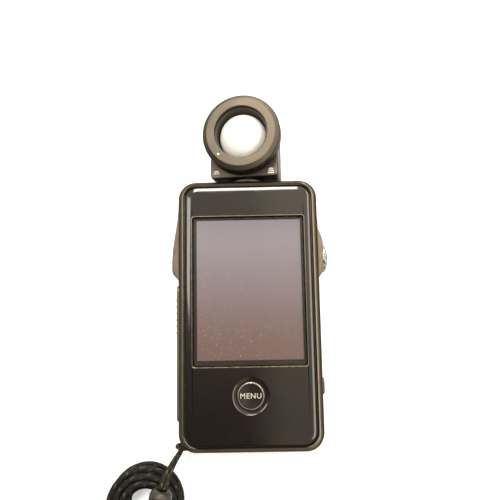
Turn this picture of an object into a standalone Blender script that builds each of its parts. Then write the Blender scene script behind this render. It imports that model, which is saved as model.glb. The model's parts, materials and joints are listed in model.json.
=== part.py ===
"""Hand-held light meter lying on its back, as an assembly of its real pieces.

Units are metres and +Z is up. +X is the meter's right side and +Y points to its head.
The origin lies on the surface, near the middle of the meter's own outline.
"""
import math

import bmesh
import bpy
from mathutils import Matrix, Vector

# Overall form of the case, drawn round its glossy panel
CASE_RIM_SIDE = 0.0029
CASE_RIM_HEAD = 0.0021
CASE_RIM_FOOT = 0.0028
CASE_RIM_RISE = 0.0001
CASE_WALL = 0.0018
CASE_CORNER = 0.0070
PARTING_HEIGHT = 0.0102
FIT_GAP = 0.0003
OVERRUN = 0.0010
BACK_EDGE_INSET = 0.0020
BACK_EDGE_HEIGHT = 0.0030
FRONT_EDGE_INSET = 0.0014
FRONT_EDGE_HEIGHT = 0.0026
FLOOR_THICKNESS = 0.0032
LUG_CORNER_RADIUS = 0.0190

# Front plate, glossy panel, window and screen
PLATE_THICKNESS = 0.0016
PANEL_SIDE = 0.00315
PANEL_HEAD = 0.0127
PANEL_FOOT = 0.0293
PANEL_CORNER = 0.0050
PANEL_THICKNESS = 0.0009
PANEL_EDGE = 0.0004
PANEL_HEAD_SLOPE = 0.0032
WINDOW_WIDTH = 0.0431
WINDOW_LENGTH = 0.0572
WINDOW_TOP = 0.0218
WINDOW_CORNER = 0.0006
GLASS_THICKNESS = 0.0011
MODULE_MARGIN = 0.0003
MODULE_THICKNESS = 0.0022
MODULE_RAISE = 0.0010
MODULE_END_MARGIN = 0.0022

# Circuit board and what is soldered to it
BOARD_THICKNESS = 0.0010
BOARD_CORNER = 0.0050
BOARD_FOOT_MARGIN = 0.0074
BOARD_HEAD_MARGIN = 0.0045
SWITCH_SIZE = 0.0044
SWITCH_DEPTH = 0.0022
BUZZER_RADIUS = 0.0045
BUZZER_HEIGHT = 0.0042
BUZZER_INSET = 0.0135
BUZZER_Y = 0.0200

# Battery bay, batteries, contacts and door
BATTERY_RADIUS = 0.00525
BATTERY_LENGTH = 0.0445
BATTERY_NUB_RADIUS = 0.0019
BATTERY_NUB_LENGTH = 0.0010
CONTACT_THICKNESS = 0.0005
CONTACT_HEIGHT = 0.0080
BAY_WALL = 0.0010
BAY_CEILING = 0.0008
BAY_CENTRE_X = 0.00475
BAY_END_WALL = 0.0015
DOOR_LEFT_INSET = 0.0142
DOOR_RIGHT_INSET = 0.0047
DOOR_HEAD_MARGIN = 0.0027
DOOR_PLATE = 0.0016
DOOR_END_WALL = 0.0018
DOOR_PROUD = 0.0006
DOOR_TONGUE = 0.0008
DOOR_CORNER = 0.0012
DOOR_RIB_COUNT = 5
DOOR_RIB_PITCH = 0.0016
DOOR_RIB_WIDTH = 0.0008
DOOR_RIB_DEPTH = 0.0004
DOOR_RIB_LENGTH = 0.0160

# Case screws
SCREW_RADIUS = 0.0008
SCREW_HEAD_RADIUS = 0.0017
SCREW_HEAD_HEIGHT = 0.0011
SCREW_SINK = 0.0005
BOSS_RADIUS = 0.0016
SCREW_BITE = 0.0018
SCREW_SIDE_INSET = 0.0065
SCREW_HEAD_INSET = 0.0063
SCREW_LOWER_INSET = 0.0103
SCREW_LOWER_Y = -0.0450
SCREW_DOOR_MARGIN = 0.0050

# Rubber grips on both flanks
GRIP_BOTTOM = -0.0026
GRIP_TOP = 0.0284
GRIP_BACK = 0.0030
GRIP_FRONT = 0.0170
GRIP_SEAT = 0.0009
GRIP_PROUD = 0.0007
GRIP_BULGE = 0.0023
GRIP_PEAK_Y = 0.0045
GRIP_STATIONS = 14
GRIP_ARC_POINTS = 6

# Side keys
KEY_FLANGE = 0.0009
KEY_FLANGE_THICKNESS = 0.0008
KEY_TRAVEL = 0.0008
KEY_EDGE = 0.0004
KEY_HEIGHT = 0.0100
MEASURE_KEY_RADIUS = 0.0056
MEASURE_KEY_Y = 0.0057
MEASURE_KEY_PROUD = 0.0037
MEMORY_KEY_LENGTH = 0.0070
MEMORY_KEY_WIDTH = 0.0042
MEMORY_KEY_Y = 0.0195
MEMORY_KEY_PROUD = 0.0022
POWER_KEY_LENGTH = 0.0067
POWER_KEY_WIDTH = 0.0044
POWER_KEY_Y = -0.0449
POWER_KEY_PROUD = 0.0015

# Menu key in its dish
MENU_KEY_RADIUS = 0.0049
MENU_KEY_DROP = 0.0111
MENU_KEY_FLANGE = 0.0013
MENU_KEY_FLANGE_THICKNESS = 0.0007
MENU_KEY_STEM = 0.0018
MENU_KEY_TRAVEL = 0.0006
MENU_KEY_SINK = 0.0001
MENU_DISH_RADIUS = 0.0070
MENU_DISH_DEPTH = 0.0005

# Socket strip on the left flank with its two covers
STRIP_FOOT_MARGIN = 0.0118
STRIP_HEAD_MARGIN = 0.0032
STRIP_BACK = 0.0046
STRIP_FRONT = 0.0160
STRIP_PROUD = 0.0009
STRIP_CORNER = 0.0020
FLAP_BOTTOM = -0.0256
FLAP_TOP = -0.0078
FLAP_BACK = 0.0062
FLAP_FRONT = 0.0144
FLAP_PROUD = 0.0003
FLAP_CORNER = 0.0012
FLAP_RIB_COUNT = 6
FLAP_RIB_HEIGHT = 0.0004
FLAP_RIB_WIDTH = 0.0010
USB_WIDTH = 0.0078
USB_HEIGHT = 0.0036
USB_DEPTH = 0.0076
USB_SHELL = 0.0004
USB_MOUTH_DEPTH = 0.0050
SYNC_Y = -0.0450
SYNC_RADIUS = 0.0030
SYNC_DEPTH = 0.0060
SYNC_BORE = 0.0019
SYNC_BORE_DEPTH = 0.0040
SYNC_COVER_RADIUS = 0.0044

# Strap lug at the lower left corner
LUG_INSET = 0.0032
LUG_Z = 0.0060
LUG_POST_RADIUS = 0.0022
LUG_SLOT_WIDTH = 0.0024
LUG_SLOT_HEIGHT = 0.0044

# Swivelling head
HEAD_AXIS_HEIGHT = 0.0100
HEAD_TURN_DEGREES = -8.0
HEAD_SIDE_WALL = 0.0015
HEAD_CLEARANCE = 0.0018
HEAD_BACK = 0.0022
HEAD_FACE = 0.0182
HEAD_CORNER = 0.0015
HEAD_EDGE = 0.0005
HEAD_BORE = 0.01225
HEAD_COVER_THICKNESS = 0.0012
COLLAR_RADIUS = 0.0075
COLLAR_EDGE = 0.0005
SHAFT_RADIUS = 0.0036
SHAFT_BORE = 0.0020
SHAFT_FLANGE_RADIUS = 0.0052
SHAFT_FLANGE_THICKNESS = 0.0009
SHAFT_SOCKET_DEPTH = 0.0036

# Retracting ring, guide barrel, carrier and dome
RING_CENTRE_RISE = 0.0161
RING_RADIUS = 0.0155
RING_FACE_RISE = 0.0001
RING_FACE_RADIUS = 0.01365
RING_OPENING = 0.0104
RING_LIP = 0.0012
RING_SHOULDER = 0.0014
RING_FOOT_RADIUS = 0.0146
RING_FOOT_HEIGHT = 0.0006
KNURL_DEPTH = 0.0003
KNURL_TEETH = 38
SLEEVE_OUTER = 0.01195
SLEEVE_INNER = 0.01085
BARREL_OUTER = 0.01055
BARREL_INNER = 0.00995
BARREL_FLANGE_RADIUS = 0.0120
BARREL_FLANGE_THICKNESS = 0.0013
CARRIER_RADIUS = 0.0096
CARRIER_WALL = 0.0009
CARRIER_HOLE = 0.0060
CARRIER_BOTTOM = 0.0075
PIN_RADIUS = 0.00085
PIN_REACH = 0.01175
PIN_COUNT = 3
DOME_LIFT = 0.0075
DOME_RADIUS = 0.0094
DOME_RISE = 0.0074
DOME_WALL = 0.0009
DOME_BASE_HEIGHT = 0.0184
RING_TURN_DEGREES = 90.0
SLOT_END_DEGREES = 6.0
SENSOR_BOARD_THICKNESS = 0.0010
SENSOR_CELL_RADIUS = 0.0032
SENSOR_CELL_HEIGHT = 0.0024

# Neck strap: ferrule, coiled neck cord and the thin loop through the lug
FERRULE_ASIDE = 0.0109
FERRULE_BELOW = 0.0217
FERRULE_RADIUS = 0.00435
FERRULE_LENGTH = 0.0090
FERRULE_HEADING_DEGREES = 258.0
NECK_CORD_DIAMETER = 0.0021
COIL_ASIDE = 0.0185
COIL_BELOW = 0.0263
COIL_INNER_RADIUS = 0.00685
COIL_PITCH = 0.00255
COIL_TURNS_PER_LAYER = 3
COIL_TURNS = 11.55
COIL_START_DEGREES = 80.0
COIL_POINTS_PER_TURN = 24
CORD_END_SPREAD = 0.00135
LOOP_CORD_DIAMETER = 0.0013
LOOP_POINT_SPACING = 0.0019
LOOP_STRAND_OFFSET = 0.00085
LOOP_WRAP_RADIUS = 0.0034

# Hand-chosen route points of the cords, from the coil's centre and from the lug's post
NECK_LEAD_IN = ((0.00485, -0.00150, 0.0143), (0.00410, -0.00250, 0.0131), (0.00340, -0.00270, 0.0106),
                (0.00320, -0.00260, 0.0072), (0.00330, -0.00220, 0.0040), (0.00390, -0.00100, 0.00175),
                (0.00460, 0.00100, 0.00108), (0.00430, 0.00350, 0.00106), (0.00295, 0.00570, 0.00105))
NECK_LEAD_OUT = ((0.00300, -0.00720, 0.0091), (0.00485, -0.00655, 0.0102), (0.00650, -0.00500, 0.0124),
                 (0.00740, -0.00260, 0.0142))
LOOP_TAIL = ((-0.0091, -0.0149, 0.0141), (-0.0079, -0.0119, 0.0127), (-0.0062, -0.0087, 0.0102),
             (-0.0042, -0.0058, 0.0076), (-0.0033, -0.0041, 0.0063), (-0.0033, -0.0024, 0.0060))
LOOP_WRAP_DEGREES = (195, 165, 135, 100, 60, 20, -20, -55)
LOOP_BIGHT = ((0.0003, -0.0039, 0.0016), (-0.0015, -0.0043, 0.0025), (-0.0031, -0.0042, 0.0026),
              (-0.0049, -0.0041, 0.0018), (-0.0056, -0.0040, 0.0))

# Values worked out from the sizes above
WINDOW_BOTTOM = WINDOW_TOP - WINDOW_LENGTH
PANEL_WIDTH = WINDOW_WIDTH + 2 * PANEL_SIDE
PANEL_TOP = WINDOW_TOP + PANEL_HEAD
PANEL_BOTTOM = WINDOW_BOTTOM - PANEL_FOOT
HALF_WIDTH = PANEL_WIDTH / 2 + CASE_RIM_SIDE
CASE_TOP = PANEL_TOP + CASE_RIM_HEAD
CASE_BOTTOM = PANEL_BOTTOM - CASE_RIM_FOOT
INNER_HALF_WIDTH = HALF_WIDTH - CASE_WALL
DOOR_RECESS = DOOR_PLATE + FIT_GAP
BATTERY_HEIGHT = DOOR_RECESS + BATTERY_RADIUS
BAY_TOP = BATTERY_HEIGHT + BATTERY_RADIUS + FIT_GAP
BOARD_BASE = BAY_TOP + BAY_CEILING + FIT_GAP
BOARD_FACE = BOARD_BASE + BOARD_THICKNESS
MODULE_BASE = BOARD_FACE + FIT_GAP
MODULE_SHOULDER = MODULE_BASE + MODULE_THICKNESS
PLATE_UNDERSIDE = MODULE_SHOULDER + FIT_GAP
PLATE_TOP = PLATE_UNDERSIDE + PLATE_THICKNESS
PANEL_BASE = PLATE_TOP + FIT_GAP
PANEL_FACE = PANEL_BASE + PANEL_THICKNESS
CASE_DEPTH = PANEL_FACE + CASE_RIM_RISE
MODULE_FACE = MODULE_SHOULDER + MODULE_RAISE
GLASS_BASE = MODULE_FACE + FIT_GAP
BAY_BOTTOM = CASE_BOTTOM - DOOR_PROUD + DOOR_END_WALL + FIT_GAP + BAY_END_WALL
CONTACT_BASE = BAY_BOTTOM + FIT_GAP
BATTERY_BOTTOM = CONTACT_BASE + CONTACT_THICKNESS + FIT_GAP
BATTERY_TOP = BATTERY_BOTTOM + BATTERY_LENGTH
BRIDGE_BASE = BATTERY_TOP + FIT_GAP
BAY_UPPER_END = BRIDGE_BASE + CONTACT_THICKNESS + FIT_GAP
BOARD_BOTTOM = CASE_BOTTOM + BOARD_FOOT_MARGIN
BOARD_TOP = CASE_TOP - BOARD_HEAD_MARGIN
BUZZER_X = BUZZER_INSET - HALF_WIDTH
DOOR_LEFT = DOOR_LEFT_INSET - HALF_WIDTH
DOOR_RIGHT = HALF_WIDTH - DOOR_RIGHT_INSET
DOOR_TOP = BAY_UPPER_END + DOOR_HEAD_MARGIN
MENU_KEY_Y = WINDOW_BOTTOM - MENU_KEY_DROP
HEAD_BOTTOM = CASE_TOP + HEAD_CLEARANCE
RING_CENTRE_Y = HEAD_BOTTOM + RING_CENTRE_RISE
BATTERY_OFFSET = BATTERY_RADIUS + FIT_GAP
BAY_HALF_WIDTH = 2 * BATTERY_RADIUS + 2 * FIT_GAP
SEAT_X = HALF_WIDTH - GRIP_SEAT
STRIP_BOTTOM = SYNC_Y - STRIP_FOOT_MARGIN
STRIP_TOP = FLAP_TOP + STRIP_HEAD_MARGIN
KEY_FLANGE_BASE = INNER_HALF_WIDTH - FIT_GAP - KEY_FLANGE_THICKNESS
SWITCH_FACE = KEY_FLANGE_BASE - KEY_TRAVEL - FIT_GAP
HEAD_WIDTH = 2 * (HEAD_BORE + HEAD_SIDE_WALL)
HEAD_COVER_TOP = HEAD_BACK + HEAD_COVER_THICKNESS
SENSOR_BASE = HEAD_COVER_TOP + FIT_GAP
BARREL_BASE = SENSOR_BASE + SENSOR_BOARD_THICKNESS + FIT_GAP
SLEEVE_BOTTOM = BARREL_BASE + BARREL_FLANGE_THICKNESS + FIT_GAP
RING_FOOT = HEAD_FACE + FIT_GAP
RING_FACE_HEIGHT = DOME_BASE_HEIGHT + DOME_LIFT + RING_FACE_RISE
LIP_UNDERSIDE = RING_FACE_HEIGHT - RING_LIP
PIN_HEIGHT = CARRIER_BOTTOM + PIN_RADIUS + FIT_GAP
CARRIER_TOP = DOME_BASE_HEIGHT - FIT_GAP
SCREW_TOP = PLATE_UNDERSIDE - FIT_GAP
SCREW_SIDE_X = HALF_WIDTH - SCREW_SIDE_INSET
SCREW_HEAD_Y = CASE_TOP - SCREW_HEAD_INSET
SCREW_LOWER_X = SCREW_LOWER_INSET - HALF_WIDTH
SCREW_FLANK_X = INNER_HALF_WIDTH - FIT_GAP - BOSS_RADIUS
SCREW_FLANK_Y = DOOR_TOP + SCREW_DOOR_MARGIN
LUG_X = LUG_INSET - HALF_WIDTH
LUG_Y = CASE_BOTTOM + LUG_INSET
FERRULE_X = LUG_X - FERRULE_ASIDE
FERRULE_Y = LUG_Y - FERRULE_BELOW
COIL_X = LUG_X - COIL_ASIDE
COIL_Y = LUG_Y - COIL_BELOW
COIL_TOP = NECK_CORD_DIAMETER + 3 * COIL_PITCH
FERRULE_HEIGHT = COIL_TOP + FIT_GAP + FERRULE_RADIUS
RING_TURN = math.radians(RING_TURN_DEGREES)


def clear_scene():
    """Remove every object that the file opened with."""
    for thing in list(bpy.data.objects):
        bpy.data.objects.remove(thing, do_unlink=True)


def finish(name, colour, roughness, metallic=0.0):
    """A Principled material with the piece's own colour."""
    material = bpy.data.materials.new(name)
    material.use_nodes = True
    shader = material.node_tree.nodes["Principled BSDF"]
    shader.inputs["Base Color"].default_value = (*colour, 1.0)
    shader.inputs["Roughness"].default_value = roughness
    shader.inputs["Metallic"].default_value = metallic
    return material


def add_object(name, mesh, look=None, origin=(0, 0, 0), smooth_degrees=35.0):
    """Link a mesh whose points are given from the model's origin, with its own origin moved."""
    mesh.transform(Matrix.Translation(-Vector(origin)))
    thing = bpy.data.objects.new(name, mesh)
    thing.location = origin
    bpy.context.scene.collection.objects.link(thing)
    if look is not None:
        mesh.materials.append(look)
    mesh.shade_smooth()
    mesh.set_sharp_from_angle(angle=math.radians(smooth_degrees))
    return thing


def mesh_from(rings, name, closed_tube=False):
    """Skin a row of rings with equal counts; the ends are capped, or joined to each other."""
    work = bmesh.new()
    loops = [[work.verts.new(point) for point in ring] for ring in rings]
    pairs = list(zip(loops, loops[1:]))
    if closed_tube:
        pairs.append((loops[-1], loops[0]))
    for lower, upper in pairs:
        count = len(lower)
        for index in range(count):
            following = (index + 1) % count
            work.faces.new((lower[index], lower[following], upper[following], upper[index]))
    if not closed_tube:
        work.faces.new(reversed(loops[0]))
        work.faces.new(loops[-1])
    bmesh.ops.recalc_face_normals(work, faces=work.faces)
    mesh = bpy.data.meshes.new(name)
    work.to_mesh(mesh)
    work.free()
    return mesh


def rounded_ring(left, right, bottom, top, height, radii, steps=4):
    """A level rounded rectangle; radii run from the lower left corner anticlockwise."""
    if not isinstance(radii, (tuple, list)):
        radii = (radii,) * 4
    corners = ((left, bottom, 1, 1, 180), (right, bottom, -1, 1, 270),
               (right, top, -1, -1, 0), (left, top, 1, -1, 90))
    points = []
    for (corner_x, corner_y, side_x, side_y, start), radius in zip(corners, radii):
        centre_x = corner_x + side_x * radius
        centre_y = corner_y + side_y * radius
        for step in range(steps + 1):
            angle = math.radians(start + 90 * step / steps)
            points.append((centre_x + radius * math.cos(angle), centre_y + radius * math.sin(angle),
                           height))
    return points


def flank_ring(place_x, bottom, top, back, front, radius, steps=4):
    """The same rounded rectangle stood upright on a flank, across the X axis."""
    flat = rounded_ring(bottom, top, back, front, 0, radius, steps)
    return [(place_x, along, up) for along, up, _ in flat]


def circle(radius, height, count, centre=(0, 0), start=0.0):
    """A level circle of points."""
    return [(centre[0] + radius * math.cos(start + math.tau * step / count),
             centre[1] + radius * math.sin(start + math.tau * step / count), height)
            for step in range(count)]


def turned(profile, name, count=32, axis="Z", centre=(0, 0, 0), hollow=False):
    """Revolve (radius, height) pairs about an axis through the centre."""
    rings = [circle(radius, height, count) for radius, height in profile]
    mesh = mesh_from(rings, name, closed_tube=hollow)
    turn = {"Z": Matrix.Identity(4), "X": Matrix.Rotation(math.pi / 2, 4, "Y"),
            "Y": Matrix.Rotation(-math.pi / 2, 4, "X")}[axis]
    mesh.transform(Matrix.Translation(centre) @ turn)
    return mesh


def block(name, low, high):
    """An upright box between two corners."""
    rings = [[(low[0], low[1], height), (high[0], low[1], height),
              (high[0], high[1], height), (low[0], high[1], height)] for height in (low[2], high[2])]
    return mesh_from(rings, name)


def hide_tool(tool):
    """Keep a cutting shape out of the finished part."""
    tool.hide_render = True
    tool.display_type = "WIRE"
    return tool


def carve(target, mesh, operation="DIFFERENCE"):
    """Cut a mesh out of a piece, or weld it on."""
    tool = hide_tool(add_object(target.name + "_tool", mesh))
    change = target.modifiers.new(operation.lower(), "BOOLEAN")
    change.operation = operation
    change.solver = "EXACT"
    change.object = tool
    return tool


def case_ring(inset, height, wall=0.0, lug_radius=None):
    """The case's outline, drawn in by an inset and a wall."""
    draw = inset + wall
    radius = max(CASE_CORNER - draw, CASE_WALL)
    radii = (lug_radius or radius, radius, radius, radius)
    return rounded_ring(-HALF_WIDTH + draw, HALF_WIDTH - draw, CASE_BOTTOM + draw, CASE_TOP - draw,
                        height, radii, steps=5)


def edge_rings(inset, height, base, direction, steps=3):
    """Rings that round an edge on a quarter ellipse, from the flat face to the flank."""
    rings = []
    for step in range(steps + 1):
        angle = math.pi / 2 * step / steps
        rings.append(case_ring(inset * (1 - math.sin(angle)),
                               base + direction * height * (1 - math.cos(angle))))
    return rings


def screw_places():
    """The four case screws: two at the head end, one at the lower left, one on the right flank."""
    return ((-SCREW_SIDE_X, SCREW_HEAD_Y), (SCREW_SIDE_X, SCREW_HEAD_Y),
            (SCREW_LOWER_X, SCREW_LOWER_Y), (SCREW_FLANK_X, SCREW_FLANK_Y))


def carve_flanks(target):
    """Seats for grips and strip, and the holes for keys and sockets, in either half of the case."""
    reach = HALF_WIDTH + OVERRUN
    for side in (-1, 1):
        low_x, high_x = sorted((side * SEAT_X, side * reach))
        carve(target, block("grip_seat", (low_x, GRIP_BOTTOM - FIT_GAP, GRIP_BACK - FIT_GAP),
                            (high_x, GRIP_TOP + FIT_GAP, GRIP_FRONT + FIT_GAP)))
    carve(target, block("strip_seat", (-reach, STRIP_BOTTOM - FIT_GAP, STRIP_BACK - FIT_GAP),
                        (-SEAT_X, STRIP_TOP + FIT_GAP, STRIP_FRONT + FIT_GAP)))
    inner = INNER_HALF_WIDTH - OVERRUN
    carve(target, turned([(MEASURE_KEY_RADIUS + FIT_GAP, inner), (MEASURE_KEY_RADIUS + FIT_GAP, reach)],
                         "measure_hole", axis="X", centre=(0, MEASURE_KEY_Y, KEY_HEIGHT)))
    for length, width, place in ((MEMORY_KEY_LENGTH, MEMORY_KEY_WIDTH, MEMORY_KEY_Y),
                                 (POWER_KEY_LENGTH, POWER_KEY_WIDTH, POWER_KEY_Y)):
        carve(target, mesh_from([key_ring(spot, length, width, place, FIT_GAP) for spot in (inner, reach)],
                                "key_hole"))
    usb_y = (FLAP_BOTTOM + FLAP_TOP) / 2
    carve(target, block("usb_hole", (-reach, usb_y - USB_WIDTH / 2 - FIT_GAP,
                                     BOARD_BASE - USB_HEIGHT - 2 * FIT_GAP),
                        (-inner, usb_y + USB_WIDTH / 2 + FIT_GAP, BOARD_BASE)))
    carve(target, turned([(SYNC_RADIUS + FIT_GAP, -reach), (SYNC_RADIUS + FIT_GAP, -inner)],
                         "sync_hole", count=24, axis="X", centre=(0, SYNC_Y, KEY_HEIGHT)))
    carve(target, turned([(SHAFT_RADIUS + FIT_GAP, CASE_TOP - CASE_WALL - OVERRUN),
                          (SHAFT_RADIUS + FIT_GAP, CASE_TOP + OVERRUN)],
                         "shaft_hole", axis="Y", centre=(0, 0, HEAD_AXIS_HEIGHT)))


def key_ring(place_x, length, width, place_y, grow=0.0):
    """The outline of a long side key: a rectangle with round ends."""
    half_long = length / 2 + grow
    half_wide = width / 2 + grow
    return flank_ring(place_x, place_y - half_long, place_y + half_long,
                      KEY_HEIGHT - half_wide, KEY_HEIGHT + half_wide, half_wide, steps=5)


def make_rear_case(look):
    """The back shell: a tub with the battery bay, screw pillars and strap lug."""
    inner = {"wall": CASE_WALL, "lug_radius": LUG_CORNER_RADIUS}
    rings = edge_rings(BACK_EDGE_INSET, BACK_EDGE_HEIGHT, 0, 1)
    rings += [case_ring(0, PARTING_HEIGHT), case_ring(0, PARTING_HEIGHT, **inner),
              case_ring(0, FLOOR_THICKNESS, **inner)]
    case = add_object("rear_case", mesh_from(rings, "rear_case"), look)
    bay_left = BAY_CENTRE_X - BAY_HALF_WIDTH
    bay_right = BAY_CENTRE_X + BAY_HALF_WIDTH
    carve(case, block("bay_shell", (bay_left - BAY_WALL, CASE_BOTTOM + CASE_WALL + FIT_GAP,
                                    FLOOR_THICKNESS / 2),
                      (bay_right + BAY_WALL, BAY_UPPER_END + BAY_WALL, BAY_TOP + BAY_CEILING)), "UNION")
    for place_x, place_y in screw_places():
        carve(case, turned([(BOSS_RADIUS, FLOOR_THICKNESS / 2), (BOSS_RADIUS, BOARD_BASE - FIT_GAP)],
                           "pillar", count=20, centre=(place_x, place_y, 0)), "UNION")
        carve(case, turned([(SCREW_RADIUS + FIT_GAP, -OVERRUN),
                            (SCREW_RADIUS + FIT_GAP, BOARD_BASE + OVERRUN)],
                           "screw_hole", count=16, centre=(place_x, place_y, 0)))
        carve(case, turned([(SCREW_HEAD_RADIUS + FIT_GAP, -OVERRUN),
                            (SCREW_HEAD_RADIUS + FIT_GAP, SCREW_SINK + SCREW_HEAD_HEIGHT + FIT_GAP)],
                           "head_pocket", count=16, centre=(place_x, place_y, 0)))
    carve(case, block("bay", (bay_left, BAY_BOTTOM, -OVERRUN), (bay_right, BAY_UPPER_END, BAY_TOP)))
    end = CASE_BOTTOM - OVERRUN
    carve(case, block("door_seat", (DOOR_LEFT - FIT_GAP, end, -OVERRUN),
                      (DOOR_RIGHT + FIT_GAP, DOOR_TOP + FIT_GAP, DOOR_RECESS)))
    carve(case, block("door_rails", (DOOR_LEFT - DOOR_TONGUE - FIT_GAP, end, DOOR_PLATE / 2 - FIT_GAP),
                      (DOOR_RIGHT + DOOR_TONGUE + FIT_GAP, DOOR_TOP + FIT_GAP, DOOR_RECESS)))
    carve(case, block("door_end_seat", (DOOR_LEFT - FIT_GAP, end, -OVERRUN),
                      (DOOR_RIGHT + FIT_GAP, BAY_BOTTOM - BAY_END_WALL, PARTING_HEIGHT + OVERRUN)))
    outer = LUG_POST_RADIUS + LUG_SLOT_WIDTH
    low = LUG_Z - LUG_SLOT_HEIGHT / 2
    high = LUG_Z + LUG_SLOT_HEIGHT / 2
    carve(case, turned([(LUG_POST_RADIUS, low), (outer, low), (outer, high), (LUG_POST_RADIUS, high)],
                       "lug_slot", count=28, centre=(LUG_X, LUG_Y, 0), hollow=True))
    carve_flanks(case)
    return case


def make_front_case(look):
    """The front shell: a frame round the panel, with its plate, window and screw pillars."""
    base = PARTING_HEIGHT + FIT_GAP
    seat = FIT_GAP
    recess = {"left": -PANEL_WIDTH / 2 - seat, "right": PANEL_WIDTH / 2 + seat,
              "bottom": PANEL_BOTTOM - seat, "top": PANEL_TOP + seat, "radii": PANEL_CORNER + seat,
              "steps": 5}
    rings = [rounded_ring(height=PLATE_TOP, **recess), rounded_ring(height=CASE_DEPTH, **recess)]
    rings += edge_rings(FRONT_EDGE_INSET, FRONT_EDGE_HEIGHT, CASE_DEPTH, -1)
    rings += [case_ring(0, base), case_ring(0, base, wall=CASE_WALL),
              case_ring(0, PLATE_UNDERSIDE, wall=CASE_WALL)]
    case = add_object("front_case", mesh_from(rings, "front_case"), look)
    for place_x, place_y in screw_places():
        carve(case, turned([(BOSS_RADIUS, BOARD_FACE + FIT_GAP),
                            (BOSS_RADIUS, PLATE_TOP - PLATE_THICKNESS / 2)],
                           "pillar", count=20, centre=(place_x, place_y, 0)), "UNION")
        carve(case, turned([(SCREW_RADIUS + FIT_GAP, BOARD_BASE), (SCREW_RADIUS + FIT_GAP, SCREW_TOP)],
                           "screw_hole", count=16, centre=(place_x, place_y, 0)))
    window = [rounded_ring(-WINDOW_WIDTH / 2 - seat, WINDOW_WIDTH / 2 + seat, WINDOW_BOTTOM - seat,
                           WINDOW_TOP + seat, height, WINDOW_CORNER + seat, steps=2)
              for height in (PLATE_UNDERSIDE - OVERRUN, CASE_DEPTH)]
    carve(case, mesh_from(window, "window"))
    hole = MENU_KEY_RADIUS + MENU_KEY_FLANGE + FIT_GAP
    carve(case, turned([(hole, PLATE_UNDERSIDE - OVERRUN), (hole, CASE_DEPTH)], "menu_hole",
                       centre=(0, MENU_KEY_Y, 0)))
    carve_flanks(case)
    return case


def make_front_panel(look):
    """The glossy panel: chamfered edge, sloped head end, window and the menu key's dish."""
    half = PANEL_WIDTH / 2
    rings = [rounded_ring(-half, half, PANEL_BOTTOM, PANEL_TOP, height, PANEL_CORNER, 5)
             for height in (PANEL_BASE, PANEL_FACE - PANEL_EDGE)]
    rings.append(rounded_ring(-half + PANEL_EDGE, half - PANEL_EDGE, PANEL_BOTTOM + PANEL_EDGE,
                              PANEL_TOP - PANEL_HEAD_SLOPE, PANEL_FACE, PANEL_CORNER - PANEL_EDGE, 5))
    panel = add_object("front_panel", mesh_from(rings, "front_panel"), look)
    window = [rounded_ring(-WINDOW_WIDTH / 2 - FIT_GAP, WINDOW_WIDTH / 2 + FIT_GAP, WINDOW_BOTTOM - FIT_GAP,
                           WINDOW_TOP + FIT_GAP, height, WINDOW_CORNER + FIT_GAP, steps=2)
              for height in (PANEL_BASE - OVERRUN, PANEL_FACE + OVERRUN)]
    carve(panel, mesh_from(window, "panel_window"))
    hole = MENU_KEY_RADIUS + FIT_GAP
    floor = PANEL_FACE - MENU_DISH_DEPTH
    carve(panel, turned([(hole, PANEL_BASE - OVERRUN), (hole, floor), (MENU_DISH_RADIUS, PANEL_FACE),
                         (MENU_DISH_RADIUS, PANEL_FACE + OVERRUN)], "dish", count=32,
                        centre=(0, MENU_KEY_Y, 0)))
    return panel


def make_screen(glass_look, module_look):
    """The cover glass over the display module."""
    left, right = -WINDOW_WIDTH / 2, WINDOW_WIDTH / 2
    glass = [rounded_ring(left, right, WINDOW_BOTTOM, WINDOW_TOP, height, WINDOW_CORNER, 2)
             for height in (GLASS_BASE, GLASS_BASE + GLASS_THICKNESS)]
    add_object("screen_glass", mesh_from(glass, "screen_glass"), glass_look)
    outline = (left - MODULE_MARGIN, right + MODULE_MARGIN, WINDOW_BOTTOM - MODULE_END_MARGIN,
               WINDOW_TOP + MODULE_END_MARGIN)
    module = [rounded_ring(*outline, height, WINDOW_CORNER, 2) for height in (MODULE_BASE, MODULE_SHOULDER)]
    module += [rounded_ring(left, right, WINDOW_BOTTOM, WINDOW_TOP, height, WINDOW_CORNER, 2)
               for height in (MODULE_SHOULDER, MODULE_FACE)]
    add_object("display_module", mesh_from(module, "display_module"), module_look)


def make_board(look):
    """The main circuit board with the switches that the keys press."""
    half = SWITCH_FACE
    radii = (LUG_CORNER_RADIUS, BOARD_CORNER, BOARD_CORNER, BOARD_CORNER)
    rings = [rounded_ring(-half, half, BOARD_BOTTOM, BOARD_TOP, height, radii, 5)
             for height in (BOARD_BASE, BOARD_FACE)]
    board = add_object("main_board", mesh_from(rings, "main_board"), look)
    for place_x, place_y in screw_places():
        carve(board, turned([(SCREW_RADIUS + FIT_GAP, BOARD_BASE - OVERRUN),
                             (SCREW_RADIUS + FIT_GAP, BOARD_FACE + OVERRUN)],
                            "screw_hole", count=16, centre=(place_x, place_y, 0)))
    face = SWITCH_FACE
    for place_y in (MEASURE_KEY_Y, MEMORY_KEY_Y, POWER_KEY_Y):
        carve(board, block("side_switch",
                           (face - SWITCH_DEPTH, place_y - SWITCH_SIZE / 2, KEY_HEIGHT - SWITCH_SIZE / 2),
                           (face, place_y + SWITCH_SIZE / 2, BOARD_BASE + BOARD_THICKNESS / 2)), "UNION")
    top = PLATE_TOP - MENU_KEY_FLANGE_THICKNESS - MENU_KEY_TRAVEL - MENU_KEY_STEM
    carve(board, block("menu_switch", (-SWITCH_SIZE / 2, MENU_KEY_Y - SWITCH_SIZE / 2,
                                       BOARD_FACE - BOARD_THICKNESS / 2),
                       (SWITCH_SIZE / 2, MENU_KEY_Y + SWITCH_SIZE / 2, top - FIT_GAP)), "UNION")
    return board


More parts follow.
